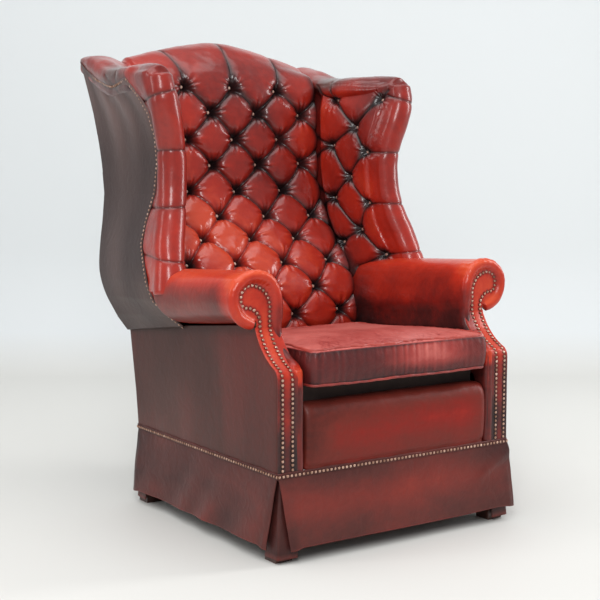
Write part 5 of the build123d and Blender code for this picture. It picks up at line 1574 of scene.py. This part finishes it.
# %% Creases on the cushion's top
on_top = smoothstep(0.3, 0.8, normal[:, 2])
creases = np.zeros(len(points))
crease_source = np.random.default_rng(77)
crease_count = 120
for _ in range(crease_count):
    crease_x = crease_source.uniform(-0.225, 0.225)
    crease_y = cushion_front + abs(crease_source.normal(0.02, 0.045)) + 0.008
    turn = crease_source.normal(pi / 2, 0.6)
    span, wide = crease_source.uniform(0.008, 0.028), crease_source.uniform(0.0010, 0.0022)
    away_x, away_y = x - crease_x, y - crease_y
    along = away_x * cos(turn) + away_y * sin(turn)
    bend = 9 * crease_source.normal(0, 0.6)
    off = away_y * cos(turn) - away_x * sin(turn) + bend * along ** 2
    creases += np.exp(-(off / wide) ** 2) * np.exp(-(along / span) ** 2) * crease_source.uniform(0.4, 1)
print("creases:", crease_count)

# %% [markdown]
# Feathers gather in lumps. The top is painted pale as a painted highlight of the lamps on it, and the border
# keeps more of its glaze.

# %% Lumps, wear and painted highlight of the cushion
lumps = slow_noise(points, 17.0, 81)
small = slow_noise(points * [1, 1, 2], 60.0, 83)
sat_in = np.exp(-((x - 0.03) / 0.12) ** 2 - ((y + 0.07) / 0.11) ** 2)
sink = 0.004 * sat_in * on_top * (inset > 0)
lift = 0.0011 * pucker + on_top * (0.0015 * lumps + 0.0005 * small - 0.0008 * creases) - sink
lift += 0.0012 * lumps * on_border
set_points(cushion, pressed(points + normal * lift[:, None]))
front_blotch = np.exp(-((x - 0.06) / 0.13) ** 2) * smoothstep(1.0, 0.45, from_top)
# The top's high value is a painted highlight of the lamps, painted pale over the whole top.
wear_and_shading = 0.88 * on_top + on_border * (0.27 + 0.60 * front_blotch * (y < -0.3) + 0.14 * pucker)
wear_and_shading += 0.12 * lumps - 0.16 * creases * on_top + 0.10 * on_top * np.exp(-inset / 0.02)
# Painted shade: a thin dark band just under the upper piping.
wear_and_shading -= 0.10 * np.exp(-np.abs(z - seam_high + 0.007) / 0.003) * on_border
store(cushion, "wear_and_shading", np.where(normal[:, 2] < -0.6, 0.2, wear_and_shading))
dress(cushion, seat_hide, body="seat_cushion",
      stands_for=["seat_cushion_cover"])


# %% [markdown]
# A piping is a thin cord in a strip of hide, sewn into the seam. It hugs the puffed cover,
# so a ray from outside finds the cover's skin at each of its points, and the distances are
# averaged over a few neighbours to keep the cord smooth.

# %% Piping on the two seams
pipe_steps, pipe_sides, pipe_radius = 620, 14, 0.0031
pipe_proud, ray_reach, neighbours = 0.0016, 0.04, 9


def hugging(path, outward, skin):
    """How far outward the cover's skin lies from each point of a closed path."""
    gaps = []
    for place, way in zip(path, outward):
        hit = skin.ray_cast(Vector(place + ray_reach * way), Vector(-way), 2 * ray_reach)[0]
        gaps.append(0.0 if hit is None else (np.array(hit) - place) @ way)
    average = np.ones(neighbours) / neighbours
    return np.convolve(np.tile(gaps, 3), average, "same")[len(path):2 * len(path)]


def cushion_piping():
    """A covered cord along both seams; it rides up and down a little with the puckers."""
    all_points, all_faces = [], []
    cushion_faces = [side.vertices for side in cushion.data.polygons]
    skin = BVHTree.FromPolygons(points_of(cushion).tolist(), cushion_faces)
    plan = cushion_outline(pipe_steps, -0.0022)
    out = plan - [0, pipe_middle]
    outward = np.column_stack([out / np.linalg.norm(out, axis=1, keepdims=True), np.zeros(pipe_steps)])
    turn = np.linspace(0, 2 * pi, pipe_steps, endpoint=False)
    for z, phase in ((seam_high, 0.0), (seam_low, 2.0)):
        rise = 0.0008 * np.sin(9 * turn + phase) + 0.0004 * np.sin(41 * turn + 2 * phase)
        in_out = 0.0004 * np.sin(37 * turn + phase)
        path = pressed(np.column_stack([plan, z + rise]))
        path += outward * (hugging(path, outward, skin) + pipe_proud + in_out)[:, None]
        radii = pipe_radius + 0.0002 * np.sin(90 * np.linspace(0, 2 * pi, pipe_steps + 2))
        rings = round_tube(np.vstack([path, path[:2]]), radii, pipe_sides)[:pipe_steps]
        start = sum(len(p) for p in all_points)
        faces = grid_faces(pipe_steps + 1, pipe_sides, loop=True) % (pipe_steps * pipe_sides)
        all_points.append(rings.reshape(-1, 3))
        all_faces += (faces + start).tolist()
    stack = np.vstack(all_points)
    upper = stack[:, 2] > (seam_low + seam_high) / 2
    wear_and_shading = 0.52 + 0.3 * slow_noise(stack, 40.0, 91) + 0.32 * upper
    return piece_from("seat_cushion_welts", stack, all_faces, wear_and_shading)


dress(cushion_piping(), piping_hide, body="seat_cushion",
      stands_for=["seat_cushion_piping"])

# %% [markdown]
# Inside the cover is the filling, a plain tick bag of feathers that fits the cover with a
# little play. It is pressed down with the cover, so it is made here from the same outline.

# %% Filling of the cushion
filling_levels = [(0.3750, -0.056), (0.3765, -0.026), (0.3860, -0.014), (0.415, -0.011),
                  (0.444, -0.014), (0.4545, -0.030), (0.4590, -0.076), (0.4600, -0.156)]
filling = melted("seat_cushion_filling_bag", [stacked(filling_levels, 160)], voxel=0.008, rounds=3, finer=0)
points = points_of(filling)
lumps = 0.0010 * slow_noise(points, 30.0, 95)
set_points(filling, pressed(points + normals_of(filling) * lumps[:, None]))
print("filling:", len(points), "points")

# %% [markdown]
# The skirt is four flat lengths of hide that hang from the band, so they flare a little and
# swing into slow folds. Their ends draw back from the corners towards the hem and curl,
# and an inverted pleat of the same hide stands behind each opening.


# %% Skirt panels
skirt_top, skirt_hem = 0.1912, 0.0335
skirt_flare, skirt_swing = 0.0165, 0.0052
front_turn, side_turns = 0, (90, 270)


def skirt_panel(name, node, half_span, face, turn, seed, folds, draws=(0.024, 0.024), flare=(0.0, 0.0)):
    """A hanging length of hide, first made for the front and then turned about the base."""
    across, down = 200, 56
    at_front, at_side = turn == front_turn, turn in side_turns
    u, t = np.meshgrid(np.linspace(-1, 1, across), np.linspace(0, 1, down))
    flat = np.stack([u, t, 0 * u], axis=2)
    swing = slow_noise(flat * [1, 0.25, 1], 3.4 * folds, seed)
    ripple = slow_noise(flat * [1, 0.5, 1], 11.0 * folds, seed + 1)
    near_end = smoothstep(0.86, 1.0, np.abs(u))
    drawn = np.where(u < 0, draws[0], draws[1])
    drawn = drawn * np.where(drawn > 0, t, t ** 0.45)
    x = u * half_span - np.sign(u) * drawn * smoothstep(0.75, 1, np.abs(u))
    out = 0.0012 + skirt_flare * t ** 0.85 + t ** 1.2 * (skirt_swing * swing + 0.0014 * ripple)
    crumple = slow_noise(flat * [6, 2.2, 1], 5.5, seed + 2)
    out += 0.0022 * crumple * near_end * smoothstep(0.05, 0.4, t)
    out -= 0.004 * t * smoothstep(0.955, 1.0, np.abs(u))
    slant = np.sin(2 * pi * (2.1 * u + 0.9 * t + 0.15 * np.sin(5 * u)))
    slant = slant * t ** 1.1 * smoothstep(1.0, 0.7, np.abs(u)) * at_side
    fold = np.exp(-((t - 0.40 + 1.2 * (u - 0.78)) / 0.09) ** 2) * smoothstep(0.66, 0.80, u) * at_front
    out = np.clip(out + 0.0024 * slant, 0.0006, 0.0245) + 0.0038 * fold
    out += t * np.where(u < 0, flare[0], flare[1]) * smoothstep(0.55, 1, np.abs(u))
    z = skirt_top - (skirt_top - skirt_hem) * t - 0.0055 * t * near_end + 0.0015 * t * swing
    z += 0.006 * t * smoothstep(0.5, 1.0, u) * (draws[1] < 0)
    grid = np.stack([x, -(face + out), z], axis=2)
    wear_and_shading = 0.36 + 0.22 * swing * t + 0.12 * ripple + 0.30 * np.exp(-(t - 0.42) ** 2 / 0.06) * at_front
    wear_and_shading += 0.35 * smoothstep(0.975, 1.0, t) - 0.22 * smoothstep(0.06, 0.0, t) + 0.15 * crumple * near_end
    # The slanted folds of the side skirts are painted lighter on their ridges and darker in their valleys, as
    # painted light and shade over the real folds.
    wear_and_shading -= 0.12 * near_end - 0.10 * slant + 0.16 * smoothstep(0.6, 0.9, u) * at_front
    spin = np.array(Matrix.Rotation(radians(turn), 3, "Z"))
    panel = piece_from(name, grid.reshape(-1, 3) @ spin.T, grid_faces(down, across), wear_and_shading)
    face_out(panel, spin @ np.array([0, -1.0, 0]), at=len(panel.data.vertices) // 2)
    backed(panel, 0.0024)
    return dress(panel, skirt_hide, stands_for=[node])


skirt_panel("front_skirt_sheet", "front_skirt", 0.3245, 0.3235, 0, 5, 1.0, (0.024, -0.011), (0.0, 0.004))
skirt_panel("rear_skirt_sheet", "rear_skirt", 0.3245, 0.3226, 180, 15, 1.1)
skirt_panel("right_side_skirt_sheet", "right_side_skirt", 0.3205, 0.3235, 90, 25, 1.3, (0.024, -0.004),
            (0.0, 0.005))
skirt_panel("left_side_skirt_sheet", "left_side_skirt", 0.3205, 0.3235, 270, 36, 1.3, (-0.004, 0.024),
            (0.006, 0.0))


# %% Inverted pleats behind the corners
pleat_top, pleat_hem = 0.190, 0.0105
pleat_edge, pleat_flare, pleat_reach = 0.3165, 0.0125, 0.050


def pleat_sheets():
    """One folded length of hide behind each corner opening, with a soft fold at the corner."""
    down, across = 30, 41
    s, t = np.meshgrid(np.linspace(-1, 1, across), np.linspace(0, 1, down))
    edge = pleat_edge + pleat_flare * t - 0.0018 * np.exp(-(s / 0.12) ** 2)
    reach = pleat_reach * np.abs(s) ** 1.25
    bow = 0.0012 * np.sin(3 * s + 2 * t) * t
    x = edge - np.where(s < 0, reach, bow * (s > 0))
    y = edge - np.where(s > 0, reach, bow * (s < 0))
    z = pleat_top - (pleat_top - pleat_hem) * t
    wear_and_shading = (0.12 + 0.5 * smoothstep(0.93, 1, t) + 0.2 * np.exp(-(s / 0.1) ** 2) * t).ravel()
    corners = [(sx, sy) for sx in (-1, 1) for sy in (-1, 1)]
    points = [np.stack([sx * x, sy * y, z], axis=2).reshape(-1, 3) for sx, sy in corners]
    faces = [grid_faces(down, across)[:, ::sx * sy] + down * across * index
             for index, (sx, sy) in enumerate(corners)]
    return piece_from("corner_pleat_sheets", np.vstack(points), np.vstack(faces), np.tile(wear_and_shading, 4))


pleats = pleat_sheets()
face_out(pleats, (-1, -1, 0), at=0)
backed(pleats, 0.0022)
dress(pleats, skirt_hide, stands_for=["corner_pleats"])

# %% [markdown]
# The band hides the skirt's raw top edge. It is a folded strip, so its edges are round, and
# it sinks between the nails. It runs round the base in one closed loop.


# %% Band over the skirt's top
band_half, band_corner, band_z = 0.3254, 0.004, 0.191
band_steps = 1100
band_section = [(0.0, -0.0067), (0.0014, -0.0066), (0.0022, -0.0050), (0.0021, 0.0),
                (0.0022, 0.0050), (0.0014, 0.0066), (0.0, 0.0067)]


def band_strip():
    """A closed loop of folded strip; each pair of the section is how far out and how far up."""
    rows = len(band_section)
    plan = round_corners(band_half, band_half, band_corner, 15)
    line = evenly(plan, band_steps, closed=True)
    along = lengths_of(plan)[-1] * np.arange(band_steps) / band_steps
    ahead = np.roll(line, -1, 0) - np.roll(line, 1, 0)
    out = np.stack([ahead[:, 1], -ahead[:, 0]], axis=1) / np.linalg.norm(ahead, axis=1, keepdims=True)
    wave = 0.0006 * np.sin(along * 61) + 0.0004 * np.sin(along * 131)
    rings = [np.column_stack([line + out * proud, band_z + up + wave]) for proud, up in band_section]
    stack = np.stack(rings, axis=1).reshape(-1, 3)
    near = near_nails(stack, 0.0045)
    stack[:, :2] -= np.repeat(out, rows, axis=0) * (0.0006 * near)[:, None]
    faces = grid_faces(band_steps + 1, rows) % (band_steps * rows)
    return piece_from("skirt_band_strip", stack, faces, 0.4 - 0.35 * near)


band = band_strip()
face_out(band, (0, -1, 0), at=3)
dress(band, skirt_hide, stands_for=["skirt_band"])

# %% [markdown]
# Antique brass nails are pressed domes, lacquered dark and rubbed bright on top. No two
# were hit the same way, so each is turned and tinted a little differently.


# %% Brass
def brass(name):
    """Lacquered brass: dark where wear is low, bright on the rubbed top."""
    n = Nodes(name)
    fine = n.noise(900.0, 3.0, 0.6)
    tone = n.math("ADD", n.wear_and_shading(), n.swing(fine, 0.5), clamp=True)
    n.link(n.ramp(tone, [(0.0, (0.03, 0.012, 0.008)), (0.3, (0.2, 0.1, 0.065)), (0.65, (0.52, 0.32, 0.24)),
                         (1.0, (0.82, 0.62, 0.52))]), n.shader.inputs["Base Color"])
    n.shader.inputs["Metallic"].default_value = 1.0
    n.link(n.math("ADD", n.math("MULTIPLY", fine, 0.22), 0.24), n.shader.inputs["Roughness"])
    n.bump([(n.noise(420.0, 2.0, 0.5), 0.12, 0.0006)])
    return n.material


old_brass = brass("old_brass")

# %% [markdown]
# Each nail's dome leans and is sized by a seeded draw, so the row looks hammered by hand.

# %% Nail heads
nail_profile = [(0.0036, -0.0004), (0.0039, 0.0003), (0.00375, 0.0008), (0.0033, 0.0014),
                (0.0025, 0.0020), (0.0012, 0.0024)]
nail_height, nail_sides = 0.0025, 16


def set_nails(name, spots, seed):
    """Low domes with a rolled rim at every nail's place."""
    angles = np.linspace(0, 2 * pi, nail_sides, endpoint=False)
    dome = [(r * cos(a), r * sin(a), z) for r, z in nail_profile for a in angles]
    top, ring = len(dome), len(dome) - nail_sides
    dome = np.array(dome + [(0, 0, nail_height)])
    faces = grid_faces(len(nail_profile), nail_sides, loop=True).tolist()
    faces += [[top, ring + i, ring + (i + 1) % nail_sides] for i in range(nail_sides)]
    source = np.random.default_rng(seed)
    all_points, all_faces, wear_and_shading = [], [], []
    for place, out in spots:
        lean = Vector(np.asarray(out) + source.normal(0, 0.05, 3))
        turn = np.array(lean.to_track_quat("Z", "Y").to_matrix())
        start = len(all_points) * len(dome)
        all_points.append((dome * source.normal(0.9, 0.02)) @ turn.T + place)
        all_faces += [[corner + start for corner in face] for face in faces]
        wear_and_shading.append(np.clip(dome[:, 2] / 0.0026, 0, 1) * source.uniform(0.5, 0.9) + source.uniform(0.0, 0.12))
    return piece_from(name, np.vstack(all_points), all_faces, np.concatenate(wear_and_shading))


for index, (node, spots) in enumerate(nails.items()):
    dress(set_nails(node + "_domes", spots, 300 + index), old_brass, stands_for=[node])

# %% [markdown]
# Feet, timbers and the hidden cloths keep their solids and get their own finishes: stained
# hardwood with grain along the piece, pale sawn beech, striped jute, tick and lining.


# %% Wood and cloth finishes
def timber(name, dark, light, rings, along, roughness, coat=0.0):
    """Wood: noise drawn out along the grain, with fine pores."""
    n = Nodes(name)
    stretch = [1.0, 1.0, 1.0]
    stretch[along] = 0.06
    grain = n.noise(rings, 5.0, 0.6, 1.4, tuple(stretch))
    pore = n.noise(rings * 9, 2.0, 0.5, 0.2, tuple(stretch))
    tone = n.math("ADD", grain, n.swing(pore, 0.4), clamp=True)
    n.link(n.ramp(tone, [(0.3, dark), (0.7, light)]), n.shader.inputs["Base Color"])
    n.link(n.math("ADD", n.math("MULTIPLY", pore, 0.15), roughness), n.shader.inputs["Roughness"])
    n.shader.inputs["Coat Weight"].default_value = coat
    n.bump([(grain, 0.15, 0.001), (pore, 0.2, 0.0004)])
    return n.material


def woven(name, colours, threads, stripe=0.0):
    """Plain weave from two crossed waves, with a coloured stripe if asked."""
    n = Nodes(name)
    place = n.add("ShaderNodeTexCoord")
    waves = []
    for direction in ("X", "Y"):
        wave = n.add("ShaderNodeTexWave", wave_type="BANDS", bands_direction=direction, Scale=threads,
                     Distortion=0.4)
        n.link(place.outputs["Object"], wave.inputs["Vector"])
        waves.append(wave.outputs["Fac"])
    weave = n.math("MULTIPLY", waves[0], waves[1])
    tone = n.math("ADD", n.math("MULTIPLY", weave, 0.5), n.math("MULTIPLY", n.noise(35.0), 0.5), clamp=True)
    if stripe:
        bars = n.add("ShaderNodeTexWave", wave_type="BANDS", bands_direction="X", Scale=stripe)
        n.link(place.outputs["Object"], bars.inputs["Vector"])
        tone = n.math("MULTIPLY", tone, n.math("GREATER_THAN", bars.outputs["Fac"], 0.15))
    n.link(n.ramp(tone, colours), n.shader.inputs["Base Color"])
    n.shader.inputs["Roughness"].default_value = 0.9
    n.shader.inputs["Sheen Weight"].default_value = 0.25
    n.bump([(weave, 0.5, 0.0007)])
    return n.material


foot_wood = timber("foot_wood", (0.018, 0.006, 0.004), (0.075, 0.02, 0.011), 26.0, 2, 0.3, 0.3)
rail_wood, side_wood, post_wood = [timber(name, (0.33, 0.20, 0.11), (0.55, 0.38, 0.22), 18.0, along, 0.55)
                                   for along, name in enumerate(("rail_wood", "side_wood", "post_wood"))]
jute = woven("jute", [(0.0, (0.09, 0.03, 0.02)), (0.4, (0.28, 0.18, 0.09)), (1.0, (0.5, 0.36, 0.2))],
             260.0, stripe=8.0)
deck_weave = woven("deck_weave", [(0.0, (0.02, 0.012, 0.01)), (1.0, (0.09, 0.05, 0.04))], 340.0)
tick = woven("tick", [(0.0, (0.5, 0.47, 0.4)), (1.0, (0.8, 0.77, 0.7))], 420.0)
lining = woven("lining", [(0.0, (0.006, 0.006, 0.007)), (1.0, (0.03, 0.03, 0.032))], 300.0)


def dress_nodes(names, material):
    """Finish for carried-over solids; they keep their places."""
    for name in names:
        mesh = nodes[name].data
        mesh.materials.clear()
        mesh.materials.append(material)


dress_nodes([side + part for side in ("right", "left") for part in ("_front_foot", "_rear_foot")], foot_wood)
dress_nodes(["front_rail", "back_rail", "crest_rail", "corner_blocks"], rail_wood)
dress_nodes([side + part for side in ("right", "left")
             for part in ("_front_post", "_rear_post", "_scroll_board", "_wing_board")], post_wood)
dress_nodes([side + part for side in ("right", "left") for part in ("_side_rail", "_arm_rail")], side_wood)
dress_nodes(["seat_webbing", "back_webbing"], jute)
dress_nodes(["seat_deck"], deck_weave)
dress(filling, tick, body="seat_cushion",
      stands_for=["seat_cushion_filling"])
dress_nodes(["dust_cover"], lining)

# %% [markdown]
# The floor and the wall are painted one matt off-white, a little warmer below and bluer
# above, so the chair's shadow and the soft horizon show as in a studio.

# %% Finish of floor and wall
floor_paint, wall_paint = (0.720, 0.715, 0.685), (0.755, 0.785, 0.795)
paint = Nodes("studio_paint")
split = paint.add("ShaderNodeSeparateXYZ")
paint.link(paint.add("ShaderNodeTexCoord").outputs["Object"], split.inputs["Vector"])
climb = paint.math("MULTIPLY", split.outputs["Z"], 7.0, clamp=True)
tone = paint.math("ADD", climb, paint.swing(paint.noise(1.6, 3.0), 0.06), clamp=True)
paint.link(paint.ramp(tone, [(0.0, floor_paint), (1.0, wall_paint)]), paint.shader.inputs["Base Color"])
paint.shader.inputs["Roughness"].default_value = 0.62
paint.shader.inputs["Specular IOR Level"].default_value = 0.2
studio.data.materials.append(paint.material)
print("materials:", len(bpy.data.materials))
